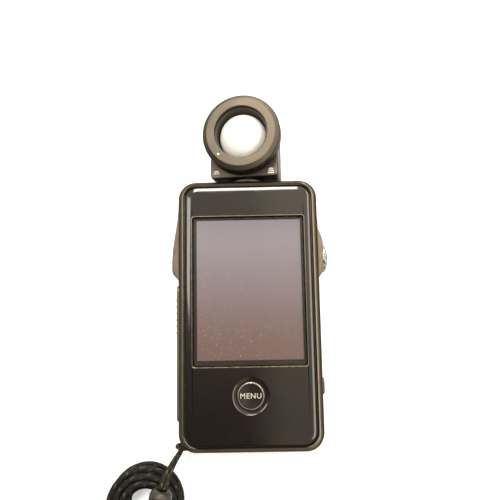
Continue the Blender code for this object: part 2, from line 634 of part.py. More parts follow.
def make_buzzer(look):
    """The round sounder under the board, with its sound hole."""
    top = BOARD_BASE - FIT_GAP
    hole = BUZZER_RADIUS / 4
    profile = [(hole, top - BUZZER_HEIGHT / 3), (hole, top - BUZZER_HEIGHT),
               (BUZZER_RADIUS, top - BUZZER_HEIGHT),
               (BUZZER_RADIUS, top)]
    add_object("buzzer", turned(profile, "buzzer", count=24, centre=(BUZZER_X, BUZZER_Y, 0)), look)


def make_batteries(cell_look, contact_look):
    """Two cells side by side, nubs opposite ways, with three contact plates."""
    for number, side in ((1, -1), (2, 1)):
        shoulder = BATTERY_LENGTH - BATTERY_NUB_LENGTH
        profile = [(BATTERY_RADIUS - FIT_GAP, 0), (BATTERY_RADIUS, FIT_GAP),
                   (BATTERY_RADIUS, shoulder - FIT_GAP),
                   (BATTERY_RADIUS - FIT_GAP, shoulder), (BATTERY_NUB_RADIUS, shoulder),
                   (BATTERY_NUB_RADIUS, BATTERY_LENGTH)]
        mesh = turned(profile, "battery", count=16, axis="Y")
        if side < 0:
            mesh.transform(Matrix.Translation((0, BATTERY_LENGTH, 0)) @ Matrix.Rotation(math.pi, 4, "X"))
        place = (BAY_CENTRE_X + side * BATTERY_OFFSET, BATTERY_BOTTOM, BATTERY_HEIGHT)
        mesh.transform(Matrix.Translation(place))
        add_object("battery_%d" % number, mesh, cell_look)
        low = (place[0] - CONTACT_HEIGHT / 2, CONTACT_BASE, BATTERY_HEIGHT - CONTACT_HEIGHT / 2)
        high = (place[0] + CONTACT_HEIGHT / 2, CONTACT_BASE + CONTACT_THICKNESS,
                BATTERY_HEIGHT + CONTACT_HEIGHT / 2)
        add_object("battery_contact_%d" % number, block("battery_contact", low, high), contact_look)
    low = (BAY_CENTRE_X - BATTERY_OFFSET - CONTACT_HEIGHT / 2, BRIDGE_BASE,
           BATTERY_HEIGHT - CONTACT_HEIGHT / 2)
    high = (BAY_CENTRE_X + BATTERY_OFFSET + CONTACT_HEIGHT / 2, BRIDGE_BASE + CONTACT_THICKNESS,
            BATTERY_HEIGHT + CONTACT_HEIGHT / 2)
    add_object("battery_bridge", block("battery_bridge", low, high), contact_look)


def make_battery_door(look):
    """The sliding door: a plate with side tongues and finger ribs, turned up at the case's end."""
    outer_end = CASE_BOTTOM - DOOR_PROUD
    inner_end = outer_end + DOOR_END_WALL
    origin = ((DOOR_LEFT + DOOR_RIGHT) / 2, (outer_end + DOOR_TOP) / 2, 0)
    plate = [rounded_ring(DOOR_LEFT, DOOR_RIGHT, outer_end, DOOR_TOP, height, DOOR_CORNER, 3)
             for height in (0, DOOR_PLATE)]
    door = add_object("battery_door", mesh_from(plate, "battery_door"), look, origin)
    carve(door, block("tongues", (DOOR_LEFT - DOOR_TONGUE, CASE_BOTTOM + BACK_EDGE_INSET, DOOR_PLATE / 2),
                      (DOOR_RIGHT + DOOR_TONGUE, DOOR_TOP - DOOR_CORNER, DOOR_PLATE)), "UNION")
    wall = [rounded_ring(DOOR_LEFT, DOOR_RIGHT, outer_end, inner_end, height, DOOR_END_WALL / 3, 3)
            for height in (DOOR_PLATE / 2, PARTING_HEIGHT - FIT_GAP)]
    carve(door, mesh_from(wall, "end_wall"), "UNION")
    middle = (DOOR_LEFT + DOOR_RIGHT) / 2
    for index in range(DOOR_RIB_COUNT):
        start = DOOR_TOP - (index + 2) * DOOR_RIB_PITCH
        carve(door, block("finger_groove", (middle - DOOR_RIB_LENGTH / 2, start, -OVERRUN),
                          (middle + DOOR_RIB_LENGTH / 2, start + DOOR_RIB_WIDTH, DOOR_RIB_DEPTH)))
    return door


def make_case_screws(look):
    """Four long screws from the back, each with a driver recess."""
    for number, (place_x, place_y) in enumerate(screw_places(), start=1):
        under = SCREW_SINK + SCREW_HEAD_HEIGHT
        recess = SCREW_HEAD_HEIGHT / 2
        profile = [(SCREW_RADIUS, SCREW_SINK + recess), (SCREW_RADIUS, SCREW_SINK),
                   (SCREW_HEAD_RADIUS, SCREW_SINK),
                   (SCREW_HEAD_RADIUS, under), (SCREW_RADIUS, under), (SCREW_RADIUS, SCREW_TOP - FIT_GAP)]
        add_object("case_screw_%d" % number,
                   turned(profile, "case_screw", count=12, centre=(place_x, place_y, 0)), look)


def bulge(place_y):
    """How far a grip swells at a place along it: a long rise from the head end, a short fall."""
    reach = (GRIP_TOP - GRIP_PEAK_Y) if place_y > GRIP_PEAK_Y else (GRIP_PEAK_Y - GRIP_BOTTOM)
    share = min(abs(place_y - GRIP_PEAK_Y) / reach, 1.0)
    power_share = 2.2 if place_y > GRIP_PEAK_Y else 3.0
    return GRIP_PROUD + GRIP_BULGE * (1 - share ** power_share) ** 2


def grip_mesh(side):
    """A rubber pad: flat against its seat, crowned outside, swelling along the flank."""
    rings = []
    middle = (GRIP_BACK + GRIP_FRONT) / 2
    half = (GRIP_FRONT - GRIP_BACK) / 2
    for station in range(GRIP_STATIONS + 1):
        place_y = GRIP_BOTTOM + (GRIP_TOP - GRIP_BOTTOM) * station / GRIP_STATIONS
        swell = bulge(place_y)
        inner = SEAT_X + FIT_GAP
        edge = HALF_WIDTH - FIT_GAP
        ring = [(inner, place_y, GRIP_BACK), (inner, place_y, GRIP_FRONT)]
        for step in range(GRIP_ARC_POINTS + 1):
            turn = math.pi * step / GRIP_ARC_POINTS
            height = middle + half * math.cos(turn)
            outward = edge + (HALF_WIDTH + swell - edge) * math.sin(turn) ** (2 / 3)
            ring.append((outward, place_y, height))
        rings.append([(side * x, y, z) for x, y, z in ring])
    return mesh_from(rings, "grip")


def make_grips(look):
    """The left grip is plain; the right one has the holes of two keys."""
    add_object("grip_left", grip_mesh(-1), look)
    right = add_object("grip_right", grip_mesh(1), look)
    far = HALF_WIDTH + GRIP_BULGE + GRIP_PROUD + OVERRUN
    carve(right, turned([(MEASURE_KEY_RADIUS + FIT_GAP, SEAT_X - OVERRUN),
                         (MEASURE_KEY_RADIUS + FIT_GAP, far)],
                        "measure_hole", axis="X", centre=(0, MEASURE_KEY_Y, KEY_HEIGHT)))
    carve(right, mesh_from([key_ring(spot, MEMORY_KEY_LENGTH, MEMORY_KEY_WIDTH, MEMORY_KEY_Y, FIT_GAP)
                            for spot in (SEAT_X - OVERRUN, far)], "memory_hole"))


def make_side_keys(silver_look, key_look):
    """Keys that slide inwards, each kept in by a flange behind the wall."""
    base = KEY_FLANGE_BASE
    flange_top = INNER_HALF_WIDTH - FIT_GAP
    face = HALF_WIDTH + MEASURE_KEY_PROUD
    dome = MEASURE_KEY_PROUD / 5
    profile = [(MEASURE_KEY_RADIUS + KEY_FLANGE, base), (MEASURE_KEY_RADIUS + KEY_FLANGE, flange_top),
               (MEASURE_KEY_RADIUS, flange_top), (MEASURE_KEY_RADIUS, face - 2 * dome),
               (MEASURE_KEY_RADIUS - dome, face - dome), (MEASURE_KEY_RADIUS / 2, face - dome / 4),
               (MEASURE_KEY_RADIUS / 8, face)]
    add_object("measure_key", turned(profile, "measure_key", axis="X",
                                     centre=(0, MEASURE_KEY_Y, KEY_HEIGHT)),
               silver_look, (base, MEASURE_KEY_Y, KEY_HEIGHT))
    for name, length, width, place, proud in (
            ("memory_key", MEMORY_KEY_LENGTH, MEMORY_KEY_WIDTH, MEMORY_KEY_Y, MEMORY_KEY_PROUD),
            ("power_key", POWER_KEY_LENGTH, POWER_KEY_WIDTH, POWER_KEY_Y, POWER_KEY_PROUD)):
        top = HALF_WIDTH + proud
        rings = [key_ring(base, length, width, place, KEY_FLANGE),
                 key_ring(flange_top, length, width, place, KEY_FLANGE),
                 key_ring(flange_top, length, width, place), key_ring(top - KEY_EDGE, length, width, place),
                 key_ring(top, length, width, place, -KEY_EDGE)]
        add_object(name, mesh_from(rings, name), key_look, (base, place, KEY_HEIGHT))


def make_menu_key(look):
    """The round key below the screen, with a flange under the panel and a stem to its switch."""
    flange_top = PANEL_BASE - FIT_GAP
    flange_base = flange_top - MENU_KEY_FLANGE_THICKNESS
    face = PANEL_FACE - MENU_KEY_SINK
    edge = MENU_KEY_FLANGE_THICKNESS / 3
    profile = [(MENU_KEY_STEM, flange_base - MENU_KEY_STEM + FIT_GAP), (MENU_KEY_STEM, flange_base),
               (MENU_KEY_RADIUS + MENU_KEY_FLANGE, flange_base),
               (MENU_KEY_RADIUS + MENU_KEY_FLANGE, flange_top),
               (MENU_KEY_RADIUS, flange_top), (MENU_KEY_RADIUS, face - edge),
               (MENU_KEY_RADIUS - edge, face)]
    add_object("menu_key", turned(profile, "menu_key", count=32, centre=(0, MENU_KEY_Y, 0)), look,
               (0, MENU_KEY_Y, flange_base))


def make_socket_strip(strip_look, rubber_look, metal_look):
    """The strip on the left flank, its ribbed flap, its round cap and the two sockets behind them."""
    inner = -(SEAT_X + FIT_GAP)
    outer = -(HALF_WIDTH + STRIP_PROUD)
    rings = [flank_ring(spot, STRIP_BOTTOM, STRIP_TOP, STRIP_BACK, STRIP_FRONT, STRIP_CORNER)
             for spot in (inner, outer)]
    strip = add_object("socket_strip", mesh_from(rings, "socket_strip"), strip_look)
    flap_hole = [flank_ring(spot, FLAP_BOTTOM - FIT_GAP, FLAP_TOP + FIT_GAP, FLAP_BACK - FIT_GAP,
                            FLAP_FRONT + FIT_GAP, FLAP_CORNER + FIT_GAP)
                 for spot in (inner + OVERRUN, outer - OVERRUN)]
    carve(strip, mesh_from(flap_hole, "flap_hole"))
    carve(strip, turned([(SYNC_COVER_RADIUS + FIT_GAP, outer - OVERRUN),
                         (SYNC_COVER_RADIUS + FIT_GAP, inner + OVERRUN)],
                        "cap_hole", axis="X", centre=(0, SYNC_Y, KEY_HEIGHT)))
    skin = outer - FLAP_PROUD
    hinge = (skin, (FLAP_BOTTOM + FLAP_TOP) / 2, FLAP_BACK)
    flap_rings = [flank_ring(spot, FLAP_BOTTOM, FLAP_TOP, FLAP_BACK, FLAP_FRONT, FLAP_CORNER)
                  for spot in (inner, skin)]
    flap = add_object("usb_flap", mesh_from(flap_rings, "usb_flap"), rubber_look, hinge)
    pitch = (FLAP_TOP - FLAP_BOTTOM - 2 * FLAP_CORNER) / FLAP_RIB_COUNT
    for index in range(FLAP_RIB_COUNT):
        start = FLAP_BOTTOM + FLAP_CORNER + (index + 1 / 2) * pitch - FLAP_RIB_WIDTH / 2
        carve(flap, block("rib", (skin - FLAP_RIB_HEIGHT, start, FLAP_BACK + FLAP_CORNER),
                          (skin + FLAP_RIB_HEIGHT, start + FLAP_RIB_WIDTH, FLAP_FRONT - FLAP_CORNER)),
              "UNION")
    cap_base = KEY_HEIGHT - SYNC_COVER_RADIUS
    edge = FLAP_PROUD
    add_object("sync_cap", turned([(SYNC_COVER_RADIUS, inner), (SYNC_COVER_RADIUS, skin + edge),
                                   (SYNC_COVER_RADIUS - edge, skin)], "sync_cap", axis="X",
                                  centre=(0, SYNC_Y, KEY_HEIGHT)), rubber_look, (skin, SYNC_Y, cap_base))
    usb_y = (FLAP_BOTTOM + FLAP_TOP) / 2
    mouth = inner + FIT_GAP
    top = BOARD_BASE - FIT_GAP
    socket = add_object("usb_socket", block("usb_socket", (mouth, usb_y - USB_WIDTH / 2, top - USB_HEIGHT),
                                            (mouth + USB_DEPTH, usb_y + USB_WIDTH / 2, top)), metal_look)
    carve(socket, block("usb_mouth", (mouth - OVERRUN, usb_y - USB_WIDTH / 2 + USB_SHELL,
                                      top - USB_HEIGHT + USB_SHELL),
                        (mouth + USB_MOUTH_DEPTH, usb_y + USB_WIDTH / 2 - USB_SHELL, top - USB_SHELL)))
    profile = [(SYNC_BORE, mouth + SYNC_BORE_DEPTH), (SYNC_BORE, mouth), (SYNC_RADIUS, mouth),
               (SYNC_RADIUS, mouth + SYNC_DEPTH)]
    add_object("sync_socket", turned(profile, "sync_socket", count=24, axis="X",
                                     centre=(0, SYNC_Y, KEY_HEIGHT)), metal_look)


def make_head_pivot():
    """The empty on the swivel's axis that carries and turns the whole head."""
    pivot = bpy.data.objects.new("head_pivot", None)
    pivot.location = (0, HEAD_BOTTOM, HEAD_AXIS_HEIGHT)
    pivot.rotation_euler = (0, math.radians(HEAD_TURN_DEGREES), 0)
    bpy.context.scene.collection.objects.link(pivot)
    return pivot


def hang_on(pivot, thing):
    """Carry a piece, and the shapes that cut it, on the head's pivot."""
    for carried in [thing] + [change.object for change in thing.modifiers if change.type == "BOOLEAN"]:
        carried.parent = pivot
        carried.matrix_parent_inverse = Matrix.Translation(-Vector(pivot.location))


def head_outline(height, grow=0.0):
    """A tombstone: straight flanks, square foot with small corners, round top about the ring's centre."""
    half = HEAD_WIDTH / 2 + grow
    bottom = HEAD_BOTTOM - grow
    corner = HEAD_CORNER
    points = []
    for start, side in ((180, -1), (270, 1)):
        for step in range(4):
            angle = math.radians(start + 90 * step / 3)
            points.append((side * (half - corner) + corner * math.cos(angle),
                           bottom + corner + corner * math.sin(angle), height))
    for step in range(19):
        angle = math.pi * step / 18
        points.append((half * math.cos(angle), RING_CENTRE_Y + half * math.sin(angle), height))
    return points


def make_head(pivot, shell_look, shaft_look, sensor_look):
    """The head's block with its bore, rear cover, swivel shaft and light sensor."""
    centre = (0, RING_CENTRE_Y, 0)
    rings = [head_outline(HEAD_BACK, -HEAD_EDGE), head_outline(HEAD_BACK + HEAD_EDGE),
             head_outline(HEAD_FACE - HEAD_EDGE), head_outline(HEAD_FACE, -HEAD_EDGE)]
    head = add_object("head_block", mesh_from(rings, "head_block"), shell_look)
    carve(head, turned([(HEAD_BORE, HEAD_BACK - OVERRUN), (HEAD_BORE, HEAD_FACE + OVERRUN)], "head_bore",
                       count=36, centre=centre))
    socket_end = HEAD_BOTTOM + SHAFT_SOCKET_DEPTH
    carve(head, turned([(SHAFT_RADIUS + FIT_GAP, HEAD_BOTTOM - OVERRUN),
                        (SHAFT_RADIUS + FIT_GAP, socket_end)],
                       "shaft_socket", axis="Y", centre=(0, 0, HEAD_AXIS_HEIGHT)))
    hang_on(pivot, head)
    edge = HEAD_COVER_THICKNESS / 3
    cover_radius = HEAD_BORE - FIT_GAP
    cover = turned([(cover_radius - edge, HEAD_BACK), (cover_radius, HEAD_BACK + edge),
                    (cover_radius, HEAD_COVER_TOP)],
                   "head_rear_cover", count=36, centre=centre)
    hang_on(pivot, add_object("head_rear_cover", cover, shell_look))
    flange_top = CASE_TOP - CASE_WALL - FIT_GAP
    flange_base = flange_top - SHAFT_FLANGE_THICKNESS
    profile = [(SHAFT_BORE, flange_base), (SHAFT_FLANGE_RADIUS, flange_base),
               (SHAFT_FLANGE_RADIUS, flange_top),
               (SHAFT_RADIUS, flange_top), (SHAFT_RADIUS, socket_end - FIT_GAP),
               (SHAFT_BORE, socket_end - FIT_GAP)]
    shaft = add_object("swivel_shaft", turned(profile, "swivel_shaft", count=20, axis="Y", hollow=True,
                                              centre=(0, 0, HEAD_AXIS_HEIGHT)), shaft_look)
    hang_on(pivot, shaft)
    board_top = SENSOR_BASE + SENSOR_BOARD_THICKNESS
    profile = [(cover_radius, SENSOR_BASE), (cover_radius, board_top), (SENSOR_CELL_RADIUS, board_top),
               (SENSOR_CELL_RADIUS, board_top + SENSOR_CELL_HEIGHT)]
    hang_on(pivot, add_object("light_sensor", turned(profile, "light_sensor", centre=centre), sensor_look))


def make_collar(look):
    """The fixed collar between case and head that the shaft turns in."""
    base = CASE_TOP + FIT_GAP
    top = HEAD_BOTTOM - FIT_GAP
    bore = SHAFT_RADIUS + FIT_GAP
    profile = [(bore, base), (COLLAR_RADIUS, base), (COLLAR_RADIUS, top - COLLAR_EDGE),
               (COLLAR_RADIUS - COLLAR_EDGE, top), (bore, top)]
    add_object("swivel_collar", turned(profile, "swivel_collar", count=28, axis="Y", hollow=True,
                                       centre=(0, 0, HEAD_AXIS_HEIGHT)), look)


def knurled_circle(radius, height, depth, count):
    """A circle whose every second point is drawn in, as the crests and roots of a knurl."""
    points = circle(radius, height, count, (0, RING_CENTRE_Y))
    roots = circle(radius - depth, height, count, (0, RING_CENTRE_Y))
    return [roots[index] if index % 2 else points[index] for index in range(count)]


def cam_slot(first_angle):
    """A helical slot: it climbs the dome's lift while the ring turns through its range."""
    rings = []
    steps = 14
    spare = math.radians(SLOT_END_DEGREES)
    half = PIN_RADIUS + FIT_GAP
    for step in range(steps + 1):
        back = -spare + (RING_TURN + 2 * spare) * step / steps
        rise = min(max(back / RING_TURN, 0), 1) * DOME_LIFT
        angle = first_angle - back
        middle = PIN_HEIGHT + rise
        near, far = SLEEVE_INNER - OVERRUN / 2, SLEEVE_OUTER + OVERRUN / 2
        rings.append([(radius * math.cos(angle), RING_CENTRE_Y + radius * math.sin(angle), middle + lift)
                      for radius, lift in ((near, -half), (far, -half), (far, half), (near, half))])
    return mesh_from(rings, "cam_slot")


def pin_angles():
    """Where the carrier's pins stand, evenly round the axis."""
    return [math.pi / 2 + math.tau * index / PIN_COUNT for index in range(PIN_COUNT)]


def make_ring(pivot, look):
    """The knurled retracting ring and its cam sleeve, in one turning."""
    count = 2 * KNURL_TEETH
    centre = (0, RING_CENTRE_Y)
    shoulder = RING_FACE_HEIGHT - RING_SHOULDER
    rings = [circle(RING_OPENING, RING_FACE_HEIGHT, count, centre),
             circle(RING_FACE_RADIUS, RING_FACE_HEIGHT, count, centre),
             circle((RING_FACE_RADIUS + RING_RADIUS) / 2, RING_FACE_HEIGHT - RING_SHOULDER / 2, count,
                    centre),
             circle(RING_RADIUS, shoulder, count, centre),
             knurled_circle(RING_RADIUS, shoulder - RING_FOOT_HEIGHT, KNURL_DEPTH, count),
             knurled_circle(RING_RADIUS, RING_FOOT + RING_FOOT_HEIGHT, KNURL_DEPTH, count),
             circle(RING_FOOT_RADIUS, RING_FOOT, count, centre),
             circle(SLEEVE_OUTER, RING_FOOT, count, centre),
             circle(SLEEVE_OUTER, SLEEVE_BOTTOM, count, centre),
             circle(SLEEVE_INNER, SLEEVE_BOTTOM, count, centre),
             circle(SLEEVE_INNER, LIP_UNDERSIDE, count, centre),
             circle(RING_OPENING, LIP_UNDERSIDE, count, centre)]
    ring = add_object("retracting_ring", mesh_from(rings, "retracting_ring", closed_tube=True), look,
                      (0, RING_CENTRE_Y, RING_FACE_HEIGHT))
    for angle in pin_angles():
        carve(ring, cam_slot(angle))
    hang_on(pivot, ring)


def make_barrel(pivot, look):
    """The fixed guide barrel: a flanged tube with three straight slots for the pins."""
    flange_top = BARREL_BASE + BARREL_FLANGE_THICKNESS
    top = LIP_UNDERSIDE - FIT_GAP
    light_hole = BARREL_INNER - CARRIER_WALL
    profile = [(light_hole, BARREL_BASE), (BARREL_FLANGE_RADIUS - FIT_GAP, BARREL_BASE),
               (BARREL_FLANGE_RADIUS - FIT_GAP, flange_top), (BARREL_OUTER, flange_top),
               (BARREL_OUTER, top),
               (BARREL_INNER, top), (BARREL_INNER, flange_top), (light_hole, flange_top)]
    barrel = add_object("guide_barrel", turned(profile, "guide_barrel", count=36, hollow=True,
                                               centre=(0, RING_CENTRE_Y, 0)), look)
    half = PIN_RADIUS + FIT_GAP
    for angle in pin_angles():
        slot = block("guide_slot", (BARREL_INNER - OVERRUN, -half, PIN_HEIGHT - half),
                     (BARREL_OUTER + OVERRUN, half, PIN_HEIGHT + DOME_LIFT + half))
        slot.transform(Matrix.Translation((0, RING_CENTRE_Y, 0)) @ Matrix.Rotation(angle, 4, "Z"))
        carve(barrel, slot)
    hang_on(pivot, barrel)


def make_carrier(pivot, look):
    """The sliding carrier under the dome: a cup with a light hole and three cam pins."""
    inner = CARRIER_RADIUS - CARRIER_WALL
    plate = CARRIER_TOP - CARRIER_WALL
    profile = [(CARRIER_HOLE, CARRIER_TOP), (CARRIER_HOLE, plate), (inner, plate), (inner, CARRIER_BOTTOM),
               (CARRIER_RADIUS, CARRIER_BOTTOM), (CARRIER_RADIUS, CARRIER_TOP)]
    carrier = add_object("dome_carrier", turned(profile, "dome_carrier", count=32, hollow=True,
                                                centre=(0, RING_CENTRE_Y, 0)), look,
                         (0, RING_CENTRE_Y, CARRIER_BOTTOM))
    for angle in pin_angles():
        pin = turned([(PIN_RADIUS, inner + CARRIER_WALL / 2), (PIN_RADIUS, PIN_REACH)], "cam_pin",
                     count=10, axis="X")
        pin.transform(Matrix.Translation((0, RING_CENTRE_Y, PIN_HEIGHT)) @ Matrix.Rotation(angle, 4, "Z"))
        carve(carrier, pin, "UNION")
    hang_on(pivot, carrier)


def make_dome(pivot, look):
    """The white light-gathering dome: a thin shell on a half ellipse."""
    steps = 6
    profile = []
    for step in range(steps + 1):
        angle = math.pi / 2 * step / steps
        profile.append((max(DOME_RADIUS * math.cos(angle), DOME_WALL / 4),
                        DOME_BASE_HEIGHT + DOME_RISE * math.sin(angle)))
    for step in range(steps, -1, -1):
        angle = math.pi / 2 * step / steps
        profile.append((max((DOME_RADIUS - DOME_WALL) * math.cos(angle), DOME_WALL / 4),
                        DOME_BASE_HEIGHT + (DOME_RISE - DOME_WALL) * math.sin(angle)))
    rings = [circle(radius, height, 32, (0, RING_CENTRE_Y)) for radius, height in profile]
    mesh = dome_mesh(rings[:steps + 1], rings[steps + 1:])
    hang_on(pivot, add_object("light_dome", mesh, look, (0, RING_CENTRE_Y, DOME_BASE_HEIGHT), 60.0))


def dome_mesh(outer, inner):
    """Outer skin over its crown, and inner skin under it, joined at the rim."""
    work = bmesh.new()
    loops = [[work.verts.new(point) for point in ring] for ring in list(reversed(outer))
             + list(reversed(inner))]
    for lower, upper in zip(loops, loops[1:]):
        for index in range(len(lower)):
            following = (index + 1) % len(lower)
            work.faces.new((lower[index], lower[following], upper[following], upper[index]))
    work.faces.new(loops[0])
    work.faces.new(loops[-1])
    bmesh.ops.recalc_face_normals(work, faces=work.faces)
    mesh = bpy.data.meshes.new("light_dome")
    work.to_mesh(mesh)
    work.free()
    return mesh


def smooth_route(points, spacing):
    """Points at an even spacing along a Catmull-Rom curve through the given ones."""
    vectors = [Vector(point) for point in points]
    padded = [2 * vectors[0] - vectors[1]] + vectors + [2 * vectors[-1] - vectors[-2]]
    fine = []
    for index in range(1, len(padded) - 2):
        before, start, end, after = padded[index - 1:index + 3]
        for step in range(16):
            share = step / 16
            fine.append(((2 * start) + (end - before) * share
                         + (2 * before - 5 * start + 4 * end - after) * share ** 2
                         + (3 * start - before - 3 * end + after) * share ** 3) / 2)
    fine.append(vectors[-1])
    total = sum((after - before).length for before, after in zip(fine, fine[1:]))
    count = max(2, round(total / spacing))
    picked = [fine[0]]
    walked = 0.0
    for before, after in zip(fine, fine[1:]):
        step_length = (after - before).length
        while len(picked) < count and walked + step_length >= len(picked) * total / count:
            share = (len(picked) * total / count - walked) / step_length
            picked.append(before.lerp(after, share))
        walked += step_length
    return picked + [fine[-1]]


def cord(name, points, diameter, look, resolution):
    """A round cord as a bevelled curve with closed ends."""
    curve = bpy.data.curves.new(name, "CURVE")
    curve.dimensions = "3D"
    curve.bevel_depth = diameter / 2
    curve.bevel_resolution = resolution
    curve.use_fill_caps = True
    line = curve.splines.new("POLY")
    line.points.add(len(points) - 1)
    for spot, point in zip(line.points, points):
        spot.co = (*point, 1.0)
    curve.materials.append(look)
    thing = bpy.data.objects.new(name, curve)
    bpy.context.scene.collection.objects.link(thing)
    return thing


def ferrule_frame():
    """The ferrule's heading along the strap and the level direction across it."""
    heading = math.radians(FERRULE_HEADING_DEGREES)
    along = Vector((math.cos(heading), math.sin(heading), 0))
    across = Vector((-along.y, along.x, 0))
    return Vector((FERRULE_X, FERRULE_Y, FERRULE_HEIGHT)), along, across


def make_ferrule(look):
    """The metal ferrule that joins the thin loop to the neck cord: a barrel with rounded shoulders."""
    centre, along, _ = ferrule_frame()
    half = FERRULE_LENGTH / 2
    mouth = FERRULE_RADIUS / 2
    profile = [(mouth, -half), (FERRULE_RADIUS * math.sqrt(1 / 2), -half * 7 / 8),
               (FERRULE_RADIUS, -half / 2),
               (FERRULE_RADIUS, half / 4), (FERRULE_RADIUS * 7 / 8, half * 7 / 8),
               (FERRULE_RADIUS * 3 / 4, half)]
    mesh = turned(profile, "strap_ferrule", count=20)
    turn = along.to_track_quat("Z", "Y").to_matrix().to_4x4()
    mesh.transform(Matrix.Translation(centre) @ turn)
    add_object("strap_ferrule", mesh, look)


def coil_points():
    """Turns that spiral out and in at a steady rate and climb a layer at each reversal."""
    points = []
    count = round(COIL_TURNS * COIL_POINTS_PER_TURN)
    for index in range(count + 1):
        turn = COIL_TURNS * index / count
        layer = math.floor(turn / COIL_TURNS_PER_LAYER + 1 / 2)
        since = abs(turn - layer * COIL_TURNS_PER_LAYER)
        phase = turn % (2 * COIL_TURNS_PER_LAYER)
        out_share = 1 - abs(phase / COIL_TURNS_PER_LAYER - 1)
        radius = COIL_INNER_RADIUS + COIL_PITCH * COIL_TURNS_PER_LAYER * out_share
        layers_up = layer
        if since < 1 / 4 and 0 < layer < 4:
            layers_up = layer - 1 / 2 + (turn - layer * COIL_TURNS_PER_LAYER) * 2
        elif turn < layer * COIL_TURNS_PER_LAYER:
            layers_up = layer - 1
        height = NECK_CORD_DIAMETER / 2 + COIL_PITCH * min(max(layers_up, 0), 3)
        angle = math.radians(COIL_START_DEGREES) + math.tau * turn
        points.append(Vector((COIL_X + radius * math.cos(angle), COIL_Y + radius * math.sin(angle),
                              height)))
    return points


def loop_route(face, across):
    """One thin cord: ferrule, round the lug's post, the bight over both strands, and back the same way."""
    post = Vector((LUG_X, LUG_Y, 0))
    tail = [face] + [post + Vector(point) for point in LOOP_TAIL]
    wrap = [post + Vector((LOOP_WRAP_RADIUS * math.cos(math.radians(turn)),
                           LOOP_WRAP_RADIUS * math.sin(math.radians(turn)), LUG_Z))
            for turn in LOOP_WRAP_DEGREES]
    strands = []
    for side in (1, -1):
        strand = []
        for index, point in enumerate(tail):
            turn = math.pi / 2 * min(index / (len(tail) - 2), 1)
            offset = Vector((0, 0, 1)) * math.sin(turn) - across * math.cos(turn)
            strand.append(point + side * LOOP_STRAND_OFFSET * offset)
        strand += [point + Vector((0, 0, side * LOOP_STRAND_OFFSET)) for point in wrap]
        strands.append(strand)
    level = post + Vector((0, 0, LUG_Z))
    above = [level + Vector(point) for point in LOOP_BIGHT]
    below = [level + Vector((point[0], point[1], -point[2])) for point in LOOP_BIGHT[:-1]]
    return strands[0] + above + below[::-1] + strands[1][::-1]


def least_gap(points, diameter):
    """The least clear distance between stretches of a cord that aren't neighbours along it."""
    least = 1.0
    skip = max(3, COIL_POINTS_PER_TURN // 2)
    for index, point in enumerate(points):
        for other in points[index + skip:]:
            least = min(least, (point - other).length)
    return least - diameter


def make_strap(cord_look, ferrule_look):
    """Ferrule, neck cord with its neat coil, and the thin loop hitched round the lug's post."""
    make_ferrule(ferrule_look)
    centre, along, across = ferrule_frame()
    lower_face = centre + along * (FERRULE_LENGTH / 2 + FIT_GAP)
    start = lower_face - across * CORD_END_SPREAD
    end = lower_face + across * CORD_END_SPREAD
    middle = Vector((COIL_X, COIL_Y, 0))
    lead_in = [start] + [middle + Vector(point) for point in NECK_LEAD_IN]
    lead_out = [middle + Vector(point) for point in NECK_LEAD_OUT] + [end]
    coil = coil_points()
    spacing = NECK_CORD_DIAMETER
    neck = smooth_route(lead_in + coil[:2], spacing)[:-1] + coil[1:-1]
    neck += smooth_route([coil[-2], coil[-1]] + lead_out, spacing)[1:]
    cord("neck_cord", neck, NECK_CORD_DIAMETER, cord_look, 1)
    print("neck cord: least gap %.2f mm" % (1000 * least_gap(neck, NECK_CORD_DIAMETER)))
    upper_face = centre - along * (FERRULE_LENGTH / 2 + FIT_GAP)
    loop = smooth_route(loop_route(upper_face, across), LOOP_POINT_SPACING)
    cord("loop_cord", loop, LOOP_CORD_DIAMETER, cord_look, 2)


def main():
    clear_scene()
    olive = finish("matte_grey_plastic", (0.14, 0.115, 0.075), 0.55)
    rear = finish("rear_grey_plastic", (0.11, 0.095, 0.065), 0.6)
    gloss = finish("glossy_black_panel", (0.006, 0.005, 0.004), 0.08)
    glass = finish("screen_glass", (0.20, 0.16, 0.17), 0.1)
    module = finish("display_module", (0.35, 0.30, 0.32), 0.3)
    board = finish("green_board", (0.02, 0.12, 0.05), 0.5)
    black = finish("black_plastic", (0.02, 0.02, 0.02), 0.5)
    rubber = finish("grey_rubber", (0.22, 0.18, 0.13), 0.8)
    silver = finish("silver_metal", (0.60, 0.57, 0.50), 0.4, 0.8)
    steel = finish("steel", (0.55, 0.55, 0.56), 0.3, 1.0)
    cell = finish("battery_sleeve", (0.05, 0.05, 0.06), 0.35)
    white = finish("white_dome", (0.88, 0.87, 0.84), 0.5)
    braid = finish("black_braid", (0.03, 0.027, 0.025), 0.9)
    brass = finish("ferrule_metal", (0.45, 0.43, 0.33), 0.3, 0.8)
    make_rear_case(rear)
    make_front_case(olive)
    make_front_panel(gloss)
    make_screen(glass, module)
    make_board(board)
    make_buzzer(black)
    make_batteries(cell, steel)
    make_battery_door(rear)
    make_case_screws(steel)
    make_grips(rubber)
    make_side_keys(silver, black)
    make_menu_key(gloss)
    make_socket_strip(olive, rubber, steel)
    make_collar(black)
    pivot = make_head_pivot()
    make_head(pivot, olive, steel, black)
    make_ring(pivot, olive)
    make_barrel(pivot, black)
    make_carrier(pivot, black)
    make_dome(pivot, white)
    make_strap(braid, brass)


main()
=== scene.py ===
"""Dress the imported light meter: smooth shells, keys, head, strap and procedural finishes."""
import json
import math

import bmesh
import bpy
import numpy as np
from bpy.props import FloatProperty, FloatVectorProperty, IntProperty, PointerProperty
from mathutils import Matrix, Vector


